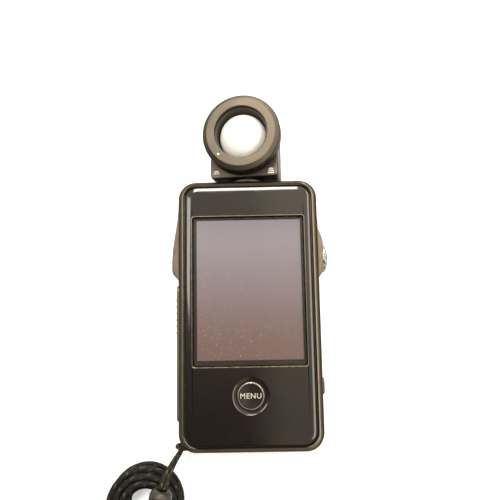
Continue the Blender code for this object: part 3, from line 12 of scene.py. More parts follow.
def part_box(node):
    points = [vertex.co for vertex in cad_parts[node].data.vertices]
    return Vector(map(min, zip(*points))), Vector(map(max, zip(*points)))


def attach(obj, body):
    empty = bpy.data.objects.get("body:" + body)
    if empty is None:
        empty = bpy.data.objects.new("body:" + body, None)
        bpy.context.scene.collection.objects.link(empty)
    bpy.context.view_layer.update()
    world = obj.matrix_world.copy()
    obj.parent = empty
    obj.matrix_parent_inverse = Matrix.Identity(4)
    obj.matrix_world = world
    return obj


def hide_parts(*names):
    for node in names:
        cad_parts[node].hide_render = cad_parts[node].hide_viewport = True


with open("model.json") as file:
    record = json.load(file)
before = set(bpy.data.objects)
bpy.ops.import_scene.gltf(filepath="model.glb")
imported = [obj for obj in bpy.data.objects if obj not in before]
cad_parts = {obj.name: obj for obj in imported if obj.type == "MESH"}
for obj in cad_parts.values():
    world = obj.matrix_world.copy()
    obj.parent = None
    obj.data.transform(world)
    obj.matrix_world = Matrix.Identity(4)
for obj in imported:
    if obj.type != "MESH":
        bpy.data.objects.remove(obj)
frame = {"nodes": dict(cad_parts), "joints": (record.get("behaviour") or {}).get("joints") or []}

bl_info = {
    "name": "Light meter",
    "version": (1, 0, 0),
    "blender": (4, 5, 0),
    "location": "View3D > Sidebar > Meter",
    "description": "Builds a hand-held light meter with its swivelling head, keys and coiled neck cord",
    "category": "Add Mesh",
}


def joint(name):
    """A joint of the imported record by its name."""
    return next(found for found in frame["joints"] if found["name"] == name)


RING_AXIS = Vector(joint("ring_turn")["axis"])
SWIVEL_POINT = Vector(joint("head_swivel")["pos_m"])
HEAD_TURN = (Matrix.Translation(SWIVEL_POINT)
             @ Matrix.Rotation(math.atan2(RING_AXIS.x, RING_AXIS.z), 4, "Y")
             @ Matrix.Translation(-SWIVEL_POINT))
CASE_LOW, CASE_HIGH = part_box("rear_case")
FRONT_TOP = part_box("front_case")[1].z
PANEL_LOW, PANEL_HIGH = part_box("front_panel")
GLASS_LOW, GLASS_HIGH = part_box("screen_glass")
PANEL_SPAN = (PANEL_LOW.x, PANEL_HIGH.x, PANEL_LOW.y, PANEL_HIGH.y)
GLASS_SPAN = (GLASS_LOW.x, GLASS_HIGH.x, GLASS_LOW.y, GLASS_HIGH.y)
TINY = 0.00001  # the radius of a pole, so that the faces round it don't collapse


def length(name, default, about):
    """A size that a user may change, in metres."""
    return FloatProperty(name=name, default=default, unit="LENGTH", precision=5, description=about)


def tint(name, default, about):
    """A colour that a user may change."""
    return FloatVectorProperty(name=name, default=default, subtype="COLOR", size=3, min=0, max=1, description=about)


class MeterSizes(bpy.types.PropertyGroup):
    """Sizes of the meter's visible surfaces."""
    case_corner: length("Case corner", 0.0070, "Corner radius of the case seen from the front")
    front_edge: length("Front edge", 0.0025, "How far the front edge is rounded inwards")
    front_edge_drop: length("Front edge drop", 0.0036, "How far the front edge is rounded downwards")
    back_edge: length("Back edge", 0.0020, "How far the back edge is rounded inwards")
    back_edge_rise: length("Back edge rise", 0.0030, "How far the back edge is rounded upwards")
    wall: length("Wall", 0.0018, "Thickness of the case's wall")
    gap: length("Gap", 0.0003, "Clearance between neighbouring pieces")
    pillow_side: length("Pillow side", 0.0029, "Width of the panel's curved border beside the screen")
    pillow_head: length("Pillow head", 0.0036, "Width of the panel's curved border at the head end")
    pillow_drop: length("Pillow drop", 0.00075, "How far the panel's border curves down")
    grip_bulge: length("Grip bulge", 0.0023, "Swell of the rubber grips")
    cord_diameter: length("Neck cord", 0.0021, "Diameter of the braided neck cord")
    loop_diameter: length("Loop cord", 0.0016, "Diameter of the thin loop cord")
    knurl_teeth: IntProperty(name="Knurl teeth", default=76, min=12, description="Ribs round the retracting ring")


class MeterColours(bpy.types.PropertyGroup):
    """Colours of the meter's finishes."""
    shell: tint("Shell", (0.122, 0.103, 0.076), "Metallic grey-brown of the head")
    # Painted shade: the dark tone laid on the head's slopes and flanks.
    shell_painted_shade: tint("Shell painted shade", (0.026, 0.021, 0.015), "Dark brown of the head's slopes and flanks")
    frame: tint("Frame", (0.142, 0.126, 0.097), "Metallic grey-brown of the case's rim")
    # Painted shade: the dark tone laid on the case's slopes and flanks.
    frame_painted_shade: tint("Frame painted shade", (0.024, 0.0195, 0.014), "Dark brown of the case's slopes and flanks")
    rear: tint("Rear shell", (0.040, 0.034, 0.025), "Matte grey-brown of the back")
    panel: tint("Panel", (0.006, 0.0045, 0.0035), "Gloss black front panel")
    lip: tint("Window lip", (0.240, 0.195, 0.130), "Bright edge round the screen's window")
    rubber: tint("Rubber", (0.215, 0.176, 0.126), "Grips and covers")
    silver: tint("Silver", (0.300, 0.275, 0.235), "Measuring key")
    dome: tint("Dome", (0.960, 0.930, 0.840), "White light dome")
    braid: tint("Braid", (0.0055, 0.0046, 0.0036), "Neck cord")
    fleck: tint("Fleck", (0.105, 0.088, 0.066), "Pale threads of the neck cord")
    loop: tint("Loop", (0.012, 0.0095, 0.006), "Thin loop cord")
    ferrule: tint("Ferrule", (0.040, 0.036, 0.027), "Ferrule of the strap")
    # Painted reflection: these two colours give the display's own grey tone a cool head end and a warm foot.
    screen_head_painted_reflection: tint("Screen head", (0.325, 0.292, 0.325), "Unlit display at its head end")
    screen_foot_painted_reflection: tint("Screen foot", (0.205, 0.128, 0.110), "Unlit display at its foot")
    print_white: tint("Marks", (0.900, 0.880, 0.800), "Printed marks")


# ---- Meshes from grids of points


def grid_mesh(points, wrap_rows=False):
    """A closed mesh from a grid of points (rows, columns, 3), with its faces turned outwards.

    Each face joins a point with the next one round its row and the same two points of the next row.
    The columns always close on themselves. The rows close too, or else end in one flat face each.
    """
    points = np.asarray(points, float)
    rows, columns = points.shape[:2]
    row = np.arange(rows if wrap_rows else rows - 1)[:, None]
    column = np.arange(columns)[None, :]
    near, far = row * columns, (row + 1) % rows * columns
    beside = (column + 1) % columns
    quads = np.stack(np.broadcast_arrays(near + column, near + beside, far + beside, far + column), -1)
    faces = quads.reshape(-1, 4).tolist()
    if not wrap_rows:
        faces += [list(range(columns))[::-1], list(range((rows - 1) * columns, rows * columns))]
    mesh = bpy.data.meshes.new("surface")
    mesh.from_pydata(points.reshape(-1, 3).tolist(), [], faces)
    work = bmesh.new()
    work.from_mesh(mesh)
    bmesh.ops.recalc_face_normals(work, faces=work.faces)
    work.to_mesh(mesh)
    work.free()
    return mesh


def quarter(count):
    """A quarter turn in even steps."""
    return np.linspace(0, math.pi / 2, count)


def corner_outline(left, right, bottom, top, radii, per_corner=12):
    """A rectangle with round corners, anticlockwise from the lower left, as (count, 2).

    Each corner is a quarter circle whose centre stands one radius in from both of its sides.
    """
    radii = np.broadcast_to(np.asarray(radii, float), (4,))
    corner_x = np.array([left, right, right, left]) + np.array([1, -1, -1, 1]) * radii
    corner_y = np.array([bottom, bottom, top, top]) + np.array([1, 1, -1, -1]) * radii
    turn = np.radians([180, 270, 0, 90])[:, None] + quarter(per_corner)[None, :]
    return np.stack([(corner_x[:, None] + radii[:, None] * np.cos(turn)).ravel(),
                     (corner_y[:, None] + radii[:, None] * np.sin(turn)).ravel()], 1)


def level(outline, height):
    """An outline laid flat at a height."""
    return np.column_stack([outline, np.full(len(outline), height)])


def upright(outline, place):
    """An outline of (along Y, up Z) stood on a flank at a place along X."""
    return np.column_stack([np.full(len(outline), place), outline])


def round_edge(count):
    """Pairs of shares of a rounded edge, from flat to flank: how far in and how far down it is."""
    turn = quarter(count)
    return list(zip(1 - np.sin(turn), 1 - np.cos(turn)))


def turned_mesh(profile, centre=(0, 0, 0), axis="Z", count=64, wrap=False):
    """A profile of (radius, height) carried round an axis through the centre.

    A point at turn t is (radius cos t, radius sin t, height) before the axis is laid over.
    """
    profile = np.asarray(profile, float)
    turn = np.linspace(0, math.tau, count, endpoint=False)
    points = np.stack([profile[:, :1] * np.cos(turn), profile[:, :1] * np.sin(turn),
                       np.repeat(profile[:, 1:], count, 1)], -1)
    mesh = grid_mesh(points, wrap_rows=wrap)
    lay = {"Z": Matrix.Identity(4), "X": Matrix.Rotation(math.pi / 2, 4, "Y"),
           "Y": Matrix.Rotation(-math.pi / 2, 4, "X")}[axis]
    mesh.transform(Matrix.Translation(centre) @ lay)
    return mesh


def slab(outline, *heights):
    """A solid with one outline laid flat at each height."""
    return grid_mesh([level(outline, height) for height in heights])


def flank_slab(outline, *places):
    """A solid with one outline stood on a flank at each place along X."""
    return grid_mesh([upright(outline, place) for place in places])


def block_mesh(low, high):
    """An upright box between two corners."""
    return slab(np.array([low[:2], [high[0], low[1]], high[:2], [low[0], high[1]]]), low[2], high[2])


def bore(radius, start, end, centre, axis="Z", count=64):
    """A round cutter between two places along an axis."""
    return turned_mesh([(radius, start), (radius, end)], centre, axis, count)


def grown(span, by):
    """A span of (low, high, low, high) with its four sides moved outwards."""
    return span[0] - by, span[1] + by, span[2] - by, span[3] + by


def new_object(name, data):
    """An object in the scene's own collection."""
    thing = bpy.data.objects.new(name, data)
    bpy.context.scene.collection.objects.link(thing)
    return thing


def carve(mesh, cutters, operation="DIFFERENCE"):
    """Cut closed meshes out of another one after another, or weld them on, and return the new mesh."""
    body, tools = new_object("carved", mesh), [new_object("cutter", cutter) for cutter in cutters]
    for tool in tools:
        change = body.modifiers.new("cut", "BOOLEAN")
        change.operation, change.solver, change.object = operation, "EXACT", tool
    seen = body.evaluated_get(bpy.context.evaluated_depsgraph_get())
    result = bpy.data.meshes.new_from_object(seen)
    for tool in [body, *tools]:
        bpy.data.objects.remove(tool)
    return result


def joined(meshes):
    """Several meshes as one."""
    work, result = bmesh.new(), bpy.data.meshes.new("surface")
    for mesh in meshes:
        work.from_mesh(mesh)
    work.to_mesh(result)
    work.free()
    return result


def place(name, mesh, look, body, slot, nodes=(), crease=32.0, even=True):
    """Add a finished mesh as a piece that rides on a body and stands for CAD nodes."""
    mesh.name = name
    thing = new_object(name, mesh)
    mesh.materials.clear()
    mesh.materials.append(look)
    mesh.shade_smooth()
    mesh.set_sharp_from_angle(angle=math.radians(crease))
    # Paint with painted shade on its slopes needs each corner's normal height.
    if "painted_slope_shade" in look:
        mark_facing_for_painted_shade(mesh)
    if even:
        shading = thing.modifiers.new("even_shading", "WEIGHTED_NORMAL")
        shading.keep_sharp = True
    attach(thing, body)
    if nodes:
        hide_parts(*nodes)
    return thing


def dress(node, look):
    """Give a CAD node that stays its finish."""
    mesh = frame["nodes"][node].data
    mesh.materials.clear()
    mesh.materials.append(look)


# ---- Finishes


PAINTED_SHADE_STEP = (0.60, 0.99)


def add_node(tree, kind, sockets=None, **settings):
    """Add a shader node with its settings; a socket takes a constant or the output that feeds it."""
    node = tree.nodes.new(kind)
    for setting, value in settings.items():
        setattr(node, setting, value)
    feed(tree, node, sockets or {})
    return node


def feed(tree, node, sockets):
    """Set a node's sockets: a constant is written there, and another node's output is linked."""
    for socket, value in sockets.items():
        if isinstance(value, bpy.types.NodeSocket):
            tree.links.new(value, node.inputs[socket])
        else:
            node.inputs[socket].default_value = value


def finish_with(material, sockets):
    """Set sockets of a material's Principled shader."""
    feed(material.node_tree, material.node_tree.nodes["Principled BSDF"], sockets)


def maths(tree, operation, one, other):
    """One step of arithmetic on two values."""
    return add_node(tree, "ShaderNodeMath", {0: one, 1: other}, operation=operation).outputs[0]


def remap(tree, value, from_low=0.0, from_high=1.0, to_low=0.0, to_high=1.0, smooth=False):
    """Carry a value from one range to another, on a straight line or as a smooth step."""
    node = add_node(tree, "ShaderNodeMapRange", {"Value": value, "From Min": from_low, "From Max": from_high,
                                                 "To Min": to_low, "To Max": to_high},
                    interpolation_type="SMOOTHSTEP" if smooth else "LINEAR")
    return node.outputs["Result"]


def blend(tree, share, one, other):
    """Mix two colours, each given or linked, by a share."""
    node = add_node(tree, "ShaderNodeMix", {"Factor": share, "A": one, "B": other}, data_type="RGBA")
    return node.outputs["Result"]


def ramp_between(tree, value, low, high, first, second):
    """A ramp from one colour at a low value to another at a high one."""
    ramp = add_node(tree, "ShaderNodeValToRGB", {"Fac": value})
    for index, (position, colour) in enumerate(((low, first), (high, second))):
        ramp.color_ramp.elements[index].position = position
        ramp.color_ramp.elements[index].color = (*colour, 1.0)
    return ramp.outputs["Color"]


def layer(tree, name):
    """Numbers that the mesh carries as an attribute."""
    return add_node(tree, "ShaderNodeAttribute", attribute_name=name).outputs["Fac"]


def split_place(tree, kind):
    """The three parts of a texture coordinate."""
    where = add_node(tree, "ShaderNodeTexCoord").outputs[kind]
    return add_node(tree, "ShaderNodeSeparateXYZ", {"Vector": where}).outputs


def object_noise(tree, size, detail=2.0):
    """Noise with features of a given size in metres, fixed to the piece."""
    where = add_node(tree, "ShaderNodeTexCoord").outputs["Object"]
    scaled = add_node(tree, "ShaderNodeMapping", {"Scale": [1 / size] * 3, "Vector": where}).outputs["Vector"]
    return add_node(tree, "ShaderNodeTexNoise", {"Scale": 1.0, "Detail": detail, "Vector": scaled}).outputs["Fac"]


def new_look(name, colour, roughness, metallic=0.0, **sockets):
    """A Principled material; further sockets are named with underscores."""
    found = bpy.data.materials.get(name)
    if found:
        return found
    material = bpy.data.materials.new(name)
    material.use_nodes = True
    finish_with(material, {"Base Color": (*colour, 1.0), "Roughness": roughness, "Metallic": metallic})
    finish_with(material, {socket.replace("_", " "): value for socket, value in sockets.items()})
    return material


def first_time(material, mark="done"):
    """True until a look has its nodes, so that a look used twice gets them once."""
    fresh = mark not in material
    material[mark] = True
    return fresh


def add_grain(material, size, depth, detail=2.0):
    """Fine relief from noise, as moulded plastic and rubber have."""
    tree = material.node_tree
    bump = add_node(tree, "ShaderNodeBump", {"Strength": 1.0, "Distance": depth,
                                             "Height": object_noise(tree, size, detail)})
    finish_with(material, {"Normal": bump.outputs["Normal"]})


def add_mottle(material, colour, other, size, low=0.3, high=0.7, detail=3.0):
    """Soft change between two colours over the piece."""
    tree = material.node_tree
    finish_with(material, {"Base Color": ramp_between(tree, object_noise(tree, size, detail), low, high, colour,
                                                      other)})


def add_wear(material, size, low, high, detail=4.0):
    """Roughness that wanders between two values, as handling leaves it."""
    tree = material.node_tree
    finish_with(material, {"Roughness": remap(tree, object_noise(tree, size, detail), 0.3, 0.7, low, high)})


def shade(colour, factor):
    """A colour made lighter or darker."""
    return tuple(min(1.0, part * factor) for part in colour)


def matte_look(name, colour, roughness=0.5, grain=0.00022, depth=0.000008):
    """Moulded, painted plastic: fine grain, faint mottling and handled spots."""
    material = new_look(name, colour, roughness)
    if first_time(material):
        add_grain(material, grain, depth)
        add_mottle(material, shade(colour, 0.88), shade(colour, 1.12), 0.012)
        add_wear(material, 0.009, roughness - 0.07, roughness + 0.07)
    return material


def slope_shaded_paint_look(name, colour, side, roughness=0.42, metallic=0.35):
    """Metallic paint with painted shade: its own pale tone on what faces the front, a dark painted shade down the
    slopes and flanks.

    The share of the pale tone is a smooth step of the attribute up, the height of the surface's normal.
    """
    material = new_look(name, colour, roughness, metallic, Specular_IOR_Level=0.25,
                        Specular_Tint=(0.5, 0.45, 0.4, 1.0))
    if first_time(material, "painted_slope_shade"):
        add_grain(material, 0.00020, 0.000006)
        add_mottle(material, shade(colour, 0.90), shade(colour, 1.10), 0.010)
        add_wear(material, 0.008, roughness - 0.07, roughness + 0.07)
        tree = material.node_tree
        pale = tree.nodes["Principled BSDF"].inputs["Base Color"].links[0].from_socket
        # Painted shade: the dark tone goes where the surface turns away from the front, as if shade fell there.
        share = remap(tree, layer(tree, "up"), *PAINTED_SHADE_STEP, smooth=True)
        finish_with(material, {"Base Color": blend(tree, share, (*side, 1.0), pale)})
    return material


def mark_facing_for_painted_shade(mesh):
    """Keep the height of each corner's normal as the attribute up, for the painted shade down the slopes and flanks.
    """
    normals = np.empty(len(mesh.loops) * 3, np.float32)
    mesh.corner_normals.foreach_get("vector", normals)
    mesh.attributes.new("up", "FLOAT", "CORNER").data.foreach_set("value", normals[2::3].copy())


def gloss_look(name, colour):
    """Polished black plastic with faint smears."""
    material = new_look(name, colour, 0.06, IOR=1.55)
    if first_time(material):
        add_wear(material, 0.006, 0.07, 0.14)
    return material


def metal_look(name, colour, roughness):
    """Plated or turned metal with a fine grain."""
    material = new_look(name, colour, roughness, 1.0)
    if first_time(material):
        add_grain(material, 0.0004, 0.000003)
        add_wear(material, 0.003, roughness - 0.06, roughness + 0.08)
    return material


def moulded_black():
    """Black plastic of the head's inner pieces."""
    return matte_look("black_moulded", (0.03, 0.026, 0.02))


def plated_steel():
    """Screws, contacts, sockets and shaft."""
    return metal_look("plated_steel", (0.50, 0.50, 0.51), 0.30)


def frame_paint(colour):
    """Paint of the case's front shell and of the socket plate, with painted shade down its slopes and flanks."""
    return slope_shaded_paint_look("frame_paint", colour.frame, colour.frame_painted_shade, 0.34, 0.85)


def rear_paint(colour):
    """Finish of the case's back and of its door."""
    return matte_look("rear_paint", colour.rear, 0.55, 0.00030, 0.000012)


def marks_white(colour):
    """White print of the head's signs and the ring's dot."""
    return new_look("print_white", colour.print_white, 0.5)


def settings(context):
    """The sizes and the colours that the panel shows."""
    return context.scene.meter_sizes, context.scene.meter_colours


# ---- Stage and camera


SENSOR_WIDTH = 36.0
FOCAL_SHARE = 0.9
CAMERA_PLACE = (0.001991, -0.011281, 0.194136)
CAMERA_TURN = (0.1141166, 0.0095192, -0.0183835)
WHITE = (1.0, 1.0, 1.0, 1.0)
FLOOR_REACH = 1.5
FLOOR_HEIGHT = -0.0001
FLOOR_WHITE = 0.92
FLOOR_BOUNCE = 0.12
FLOOR_GLOW = 0.45
SKY_FILL = 0.14
SKY_SWEEPS = (("Y", -0.28, 0.22, 0.22, 1.35), ("X", -0.01, 0.06, 0.0, 0.80))
SKY_WARMTH = (1.0, 0.86, 0.68, 1.0)
LAMPS = (("head_lamp", (-0.04, 0.38, 0.58), 0.27, 0.14, 3.5),
         ("head_low_lamp", (0.10, 0.72, 0.26), 0.40, 0.20, 4.5),
         ("right_strip", (0.36, -0.03, 0.50), 0.80, 0.17, 2.5),
         ("left_strip", (-0.26, 0.09, 0.50), 0.22, 0.18, 1.0))
LAMP_TINT = (1.0, 0.955, 0.885)


class METER_OT_stage(bpy.types.Operator):
    """Set the pale floor, the soft studio light and the camera"""
    bl_idname = "meter.stage"
    bl_label = "Stage and camera"

    def execute(self, context):
        scene = context.scene
        scene.view_settings.view_transform = "Standard"
        camera = new_object("camera", bpy.data.cameras.new("camera"))
        camera.data.sensor_width = SENSOR_WIDTH
        camera.data.lens = SENSOR_WIDTH * FOCAL_SHARE
        camera.location = CAMERA_PLACE
        camera.rotation_euler = CAMERA_TURN
        camera.data.clip_start = 0.01
        camera.data.clip_end = 20.0
        scene.camera = camera
        corners_of_floor = [(x * FLOOR_REACH, y * FLOOR_REACH, FLOOR_HEIGHT) for x,
                            y in ((-1, -1), (1, -1), (1, 1), (-1, 1))]
        floor_mesh = bpy.data.meshes.new("floor")
        floor_mesh.from_pydata(corners_of_floor, [], [[0, 1, 2, 3]])
        floor = new_object("floor", floor_mesh)
        floor_mesh.materials.append(self.floor_look())
        for name, spot, wide, long, power in LAMPS:
            lamp = new_object(name, bpy.data.lights.new(name, "AREA"))
            lamp.data.shape = "RECTANGLE"
            lamp.data.size, lamp.data.size_y = wide, long
            lamp.data.energy = power
            lamp.data.color = LAMP_TINT
            lamp.location = spot
            lamp.rotation_mode = "QUATERNION"
            lamp.rotation_quaternion = (-Vector(spot)).to_track_quat("-Z", "Y")
        self.light_sky(scene)
        return {"FINISHED"}

    def floor_look(self):
        """Pale ground: white as seen, in gloss too, dimmer in the light that it throws back."""
        material = new_look("floor_white", (FLOOR_WHITE,) * 3, 0.8)
        tree = material.node_tree
        rays = add_node(tree, "ShaderNodeLightPath").outputs
        seen = rays["Is Camera Ray"]
        for other in ("Is Glossy Ray", "Is Transmission Ray"):
            seen = maths(tree, "MAXIMUM", seen, rays[other])
        finish_with(material, {"Base Color": remap(tree, seen, to_low=FLOOR_BOUNCE, to_high=FLOOR_WHITE),
                               "Emission Color": WHITE,
                               "Emission Strength": maths(tree, "MULTIPLY", seen, FLOOR_GLOW)})
        return material

    def light_sky(self, scene):
        """White to the camera, a soft sweep to gloss that is bright at the head and right, and a plain fill."""
        world = bpy.data.worlds.new("studio")
        world.use_nodes = True
        scene.world = world
        tree = world.node_tree
        rays = add_node(tree, "ShaderNodeLightPath").outputs
        way = split_place(tree, "Generated")
        sweep = maths(tree, "ADD", *(remap(tree, way[axis], *limits, smooth=True) for axis, *limits in SKY_SWEEPS))
        gloss = add_node(tree, "ShaderNodeMix", {"Factor": rays["Is Glossy Ray"], "A": SKY_FILL, "B": sweep})
        seen = add_node(tree, "ShaderNodeMix",
                        {"Factor": rays["Is Camera Ray"], "A": gloss.outputs["Result"], "B": 1.0})
        feed(tree, tree.nodes["Background"], {"Color": blend(tree, rays["Is Glossy Ray"], WHITE, SKY_WARMTH),
                                              "Strength": seen.outputs["Result"]})


# ---- Strap


def even_path(points, spacing):
    """Points at an even spacing along a Catmull-Rom curve through the given ones."""
    knots = np.asarray(points, float)
    knots = np.vstack([2 * knots[0] - knots[1], knots, 2 * knots[-1] - knots[-2]])
    share = np.linspace(0, 1, 12, endpoint=False)[None, :, None]
    before, start, end, after = (knots[shift:len(knots) - 3 + shift, None] for shift in range(4))
    fine = (2 * start + (end - before) * share + (2 * before - 5 * start + 4 * end - after) * share ** 2
            + (3 * start - before - 3 * end + after) * share ** 3) / 2
    fine = np.vstack([fine.reshape(-1, 3), knots[-2]])
    walked = np.concatenate([[0], np.cumsum(np.linalg.norm(np.diff(fine, axis=0), axis=1))])
    wanted = np.linspace(0, walked[-1], max(2, round(walked[-1] / spacing)) + 1)
    return np.stack([np.interp(wanted, walked, fine[:, part]) for part in range(3)], 1)


def path_frames(path):
    """Two directions across a path at each point, carried along it without twist."""
    ahead = np.gradient(path, axis=0)
    ahead /= np.linalg.norm(ahead, axis=1)[:, None]
    side = np.cross(ahead[0], (0.3, 0.5, 0.8))
    sides = []
    for direction in ahead:
        side = side - direction * side.dot(direction)
        side = side / np.linalg.norm(side)
        sides.append(side)
    sides = np.array(sides)
    return sides, np.cross(ahead, sides)


def braided_tube(path, radius, strands, pitch, around, relief):
    """A tube with the relief of a braid.

    Two families of strands wind opposite ways: their phases are the turn times half the strands, plus
    and minus the way along times the braid's rate. The radius dips by the relief where both are low.
    """
    sides, ups = path_frames(path)
    step = np.linalg.norm(np.diff(path, axis=0), axis=1)
    along = np.concatenate([[0], np.cumsum(step)])[:, None]
    turn = np.linspace(0, math.tau, around, endpoint=False)[None, :]
    one = strands / 2 * turn + math.tau * along / pitch
    two = strands / 2 * turn - math.tau * along / pitch
    height = np.maximum(np.abs(np.sin(one)), np.abs(np.sin(two)))
    reach = radius * (1 - relief * (1 - height))[..., None]
    points = path[:, None] + reach * (np.cos(turn)[..., None] * sides[:, None]
                                      + np.sin(turn)[..., None] * ups[:, None])
    mesh = grid_mesh(points)
    fleck = (np.abs(np.sin(one / 3)) > 0.93) & (np.abs(np.sin(one)) > np.abs(np.sin(two))) & (np.sin(two / 2) > 0.1)
    for layer, values in (("height", height), ("fleck", fleck.astype(float))):
        mesh.attributes.new(layer, "FLOAT", "POINT").data.foreach_set("value", values.ravel().astype(np.float32))
    return mesh


def braid_look(name, colour, fleck, sheen):
    """Woven thread: painted shade, dark in the hollows and lighter on the crests, pale on the flecked strands."""
    material = new_look(name, colour, 0.70, Sheen_Weight=sheen, Sheen_Roughness=0.4, Specular_IOR_Level=0.2)
    tree = material.node_tree
    # Painted shade: the colour darkens down into the braid's hollows and lightens on its crests.
    thread = ramp_between(tree, layer(tree, "height"), 0.35, 1.0, shade(colour, 0.35), shade(colour, 1.6))
    finish_with(material, {"Base Color": blend(tree, layer(tree, "fleck"), thread, (*fleck, 1.0))})
    add_grain(material, 0.00008, 0.00001)
    return material


COIL_CENTRE = np.array([-0.0429, -0.0906, 0.0])
COIL_INNER = 0.00685
COIL_PITCH = 0.00255
TURNS_PER_LAYER = 3
COIL_TURNS = 11.55
COIL_START = math.radians(80.0)
COIL_POINTS_PER_TURN = 24
NECK_LEAD_IN = ((0.00485, -0.00150, 0.0143), (0.00410, -0.00250, 0.0131), (0.00340, -0.00270, 0.0106),
                (0.00320, -0.00260, 0.0072), (0.00330, -0.00220, 0.0040), (0.00390, -0.00100, 0.00175),
                (0.00460, 0.00100, 0.00108), (0.00430, 0.00350, 0.00106), (0.00295, 0.00570, 0.00105))
NECK_LEAD_OUT = ((0.00300, -0.00720, 0.0091), (0.00485, -0.00655, 0.0102), (0.00650, -0.00500, 0.0124),
                 (0.00740, -0.00260, 0.0142))
FERRULE_CENTRE = np.array([-0.0353, -0.0860, 0.0144])
FERRULE_HEADING = math.radians(258.0)
FERRULE_HALF = 0.0045
FERRULE_RADIUS = 0.00435
CORD_END_SPREAD = 0.00135
LUG_POST = np.array([-0.0244, -0.0643, 0.0060])
LOOP_FLECK = (0.20, 0.16, 0.10)
LOOP_OFFSET = 0.00085
LOOP_WRAP_RADIUS = 0.0034
LOOP_TAIL = ((-0.0091, -0.0149, 0.0141), (-0.0079, -0.0119, 0.0127), (-0.0062, -0.0087, 0.0102),
             (-0.0042, -0.0058, 0.0076), (-0.0033, -0.0041, 0.0063), (-0.0033, -0.0024, 0.0060))
LOOP_WRAP_DEGREES = (195, 165, 135, 100, 60, 20, -20, -55)
LOOP_BIGHT = ((0.0003, -0.0039, 0.0016), (-0.0015, -0.0043, 0.0025), (-0.0031, -0.0042, 0.0026),
              (-0.0049, -0.0041, 0.0018), (-0.0056, -0.0040, 0.0))
NECK_STEP = 0.00042
LOOP_STEP = 0.00030
NECK_BRAID = (8, 0.0036, 20, 0.22)
LOOP_BRAID = (8, 0.0026, 18, 0.16)


def coil_points(diameter):
    """Turns that spiral out and in at a steady rate and climb a layer at each reversal.

    The radius is the inner one plus the pitch times the turns since it was innermost. The height
    rises by one pitch in the quarter turn on each side of a reversal.
    """
    count = round(COIL_TURNS * COIL_POINTS_PER_TURN)
    turn = COIL_TURNS * np.arange(count + 1) / count
    layer = np.floor(turn / TURNS_PER_LAYER + 0.5)
    since = turn - layer * TURNS_PER_LAYER
    out = 1 - np.abs(turn % (2 * TURNS_PER_LAYER) / TURNS_PER_LAYER - 1)
    radius = COIL_INNER + COIL_PITCH * TURNS_PER_LAYER * out
    climbing = (np.abs(since) < 0.25) & (layer > 0) & (layer < 4)
    raised = np.where(climbing, layer - 0.5 + since * 2, np.where(since < 0, layer - 1, layer))
    height = diameter / 2 + COIL_PITCH * np.clip(raised, 0, 3)
    angle = COIL_START + math.tau * turn
    return COIL_CENTRE + np.stack([radius * np.cos(angle), radius * np.sin(angle), height], 1)


def ferrule_directions():
    """The way along the ferrule and the level way across it."""
    along = np.array([math.cos(FERRULE_HEADING), math.sin(FERRULE_HEADING), 0.0])
    return along, np.array([-along[1], along[0], 0.0])


def loop_points():
    """One thin cord: ferrule, round the lug's post, the bight over both strands, and back the same way."""
    along, across = ferrule_directions()
    face = FERRULE_CENTRE - along * (FERRULE_HALF + 0.0003)
    post = LUG_POST * (1, 1, 0)
    tail = np.vstack([face, post + np.array(LOOP_TAIL)])
    wrap_turn = np.radians(LOOP_WRAP_DEGREES)
    wrap = LUG_POST + LOOP_WRAP_RADIUS * np.stack([np.cos(wrap_turn), np.sin(wrap_turn), 0 * wrap_turn], 1)
    twist = math.pi / 2 * np.minimum(np.arange(len(tail)) / (len(tail) - 2), 1)[:, None]
    offset = np.array([0, 0, 1.0]) * np.sin(twist) - across * np.cos(twist)
    strands = [np.vstack([tail + side * LOOP_OFFSET * offset, wrap + [0, 0, side * LOOP_OFFSET]]) for side in (1, -1)]
    above = LUG_POST + np.array(LOOP_BIGHT)
    below = LUG_POST + np.array(LOOP_BIGHT[:-1]) * (1, 1, -1)
    return np.vstack([strands[0], above, below[::-1], strands[1][::-1]])


